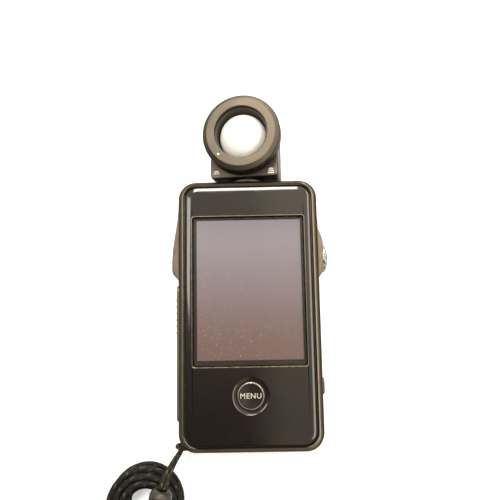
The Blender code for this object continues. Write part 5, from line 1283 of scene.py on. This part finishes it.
class METER_OT_dome(bpy.types.Operator):
    """Make the white dome, its carrier and the guide barrel"""
    bl_idname = "meter.dome"
    bl_label = "Dome"

    def execute(self, context):
        colour = settings(context)[1]
        turn = quarter(24)
        radius, rise, foot, wall = 0.0094, 0.0074, 0.0184, 0.0009
        outer = np.stack([radius * np.cos(turn), foot + rise * np.sin(turn)], 1)[::-1]
        inner = np.stack([(radius - wall) * np.cos(turn), foot + (rise - wall) * np.sin(turn)], 1)
        profile = np.maximum(np.vstack([outer, inner]), [TINY, 0])
        mesh = turned_mesh(profile, (0, RING_Y, 0), "Z", 96)
        mesh.transform(HEAD_TURN)
        # Painted glow: the warm emission makes the dome shine though it is no lamp.
        white = new_look("dome_opal_painted_glow", colour.dome, 0.42, Subsurface_Weight=0.35, Subsurface_Scale=0.003,
                         Subsurface_Radius=(1.0, 1.0, 1.0), Emission_Color=(1.0, 0.93, 0.78, 1.0),
                         Emission_Strength=0.20)
        add_grain(white, 0.0003, 0.000004)
        place("light_dome_opal", mesh, white, "dome", "white_dome", ["light_dome"], 60, even=False)
        for node in ("dome_carrier", "guide_barrel", "light_sensor"):
            dress(node, moulded_black())
        return {"FINISHED"}


class METER_OT_inside(bpy.types.Operator):
    """Finish the pieces inside the case: board, batteries, contacts, sockets and shaft"""
    bl_idname = "meter.inside"
    bl_label = "Inside"

    def execute(self, context):
        board = new_look("solder_mask", (0.012, 0.085, 0.035), 0.35)
        add_mottle(board, (0.010, 0.070, 0.030), (0.020, 0.110, 0.045), 0.003)
        dress("main_board", board)
        dress("buzzer", moulded_black())
        sleeve = new_look("battery_sleeve_dark", (0.03, 0.03, 0.035), 0.28)
        add_mottle(sleeve, (0.025, 0.025, 0.03), (0.04, 0.04, 0.045), 0.006)
        for node in ("battery_1", "battery_2"):
            dress(node, sleeve)
        for node in ("battery_bridge", "battery_contact_1", "battery_contact_2", "usb_socket", "sync_socket",
                     "swivel_shaft"):
            dress(node, plated_steel())
        return {"FINISHED"}


class METER_PT_sidebar(bpy.types.Panel):
    """The meter's sizes, colours and makers"""
    bl_label = "Light meter"
    bl_idname = "METER_PT_sidebar"
    bl_space_type = "VIEW_3D"
    bl_region_type = "UI"
    bl_category = "Meter"

    def draw(self, context):
        for maker in OPERATORS:
            self.layout.operator(maker.bl_idname)
        for group in (context.scene.meter_sizes, context.scene.meter_colours):
            for name in group.__annotations__:
                self.layout.prop(group, name)


OPERATORS = (METER_OT_stage, METER_OT_strap, METER_OT_case, METER_OT_door, METER_OT_panel, METER_OT_screen,
             METER_OT_menu_key, METER_OT_flanks, METER_OT_head, METER_OT_ring, METER_OT_dome, METER_OT_inside)
CLASSES = (MeterSizes, MeterColours, *OPERATORS, METER_PT_sidebar)


def register():
    for kind in CLASSES:
        bpy.utils.register_class(kind)
    bpy.types.Scene.meter_sizes = PointerProperty(type=MeterSizes)
    bpy.types.Scene.meter_colours = PointerProperty(type=MeterColours)


def unregister():
    del bpy.types.Scene.meter_colours
    del bpy.types.Scene.meter_sizes
    for kind in reversed(CLASSES):
        bpy.utils.unregister_class(kind)


def main():
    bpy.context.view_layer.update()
    register()
    for maker in OPERATORS:
        family, name = maker.bl_idname.split(".")
        getattr(getattr(bpy.ops, family), name)()


if __name__ == "__main__":
    main()
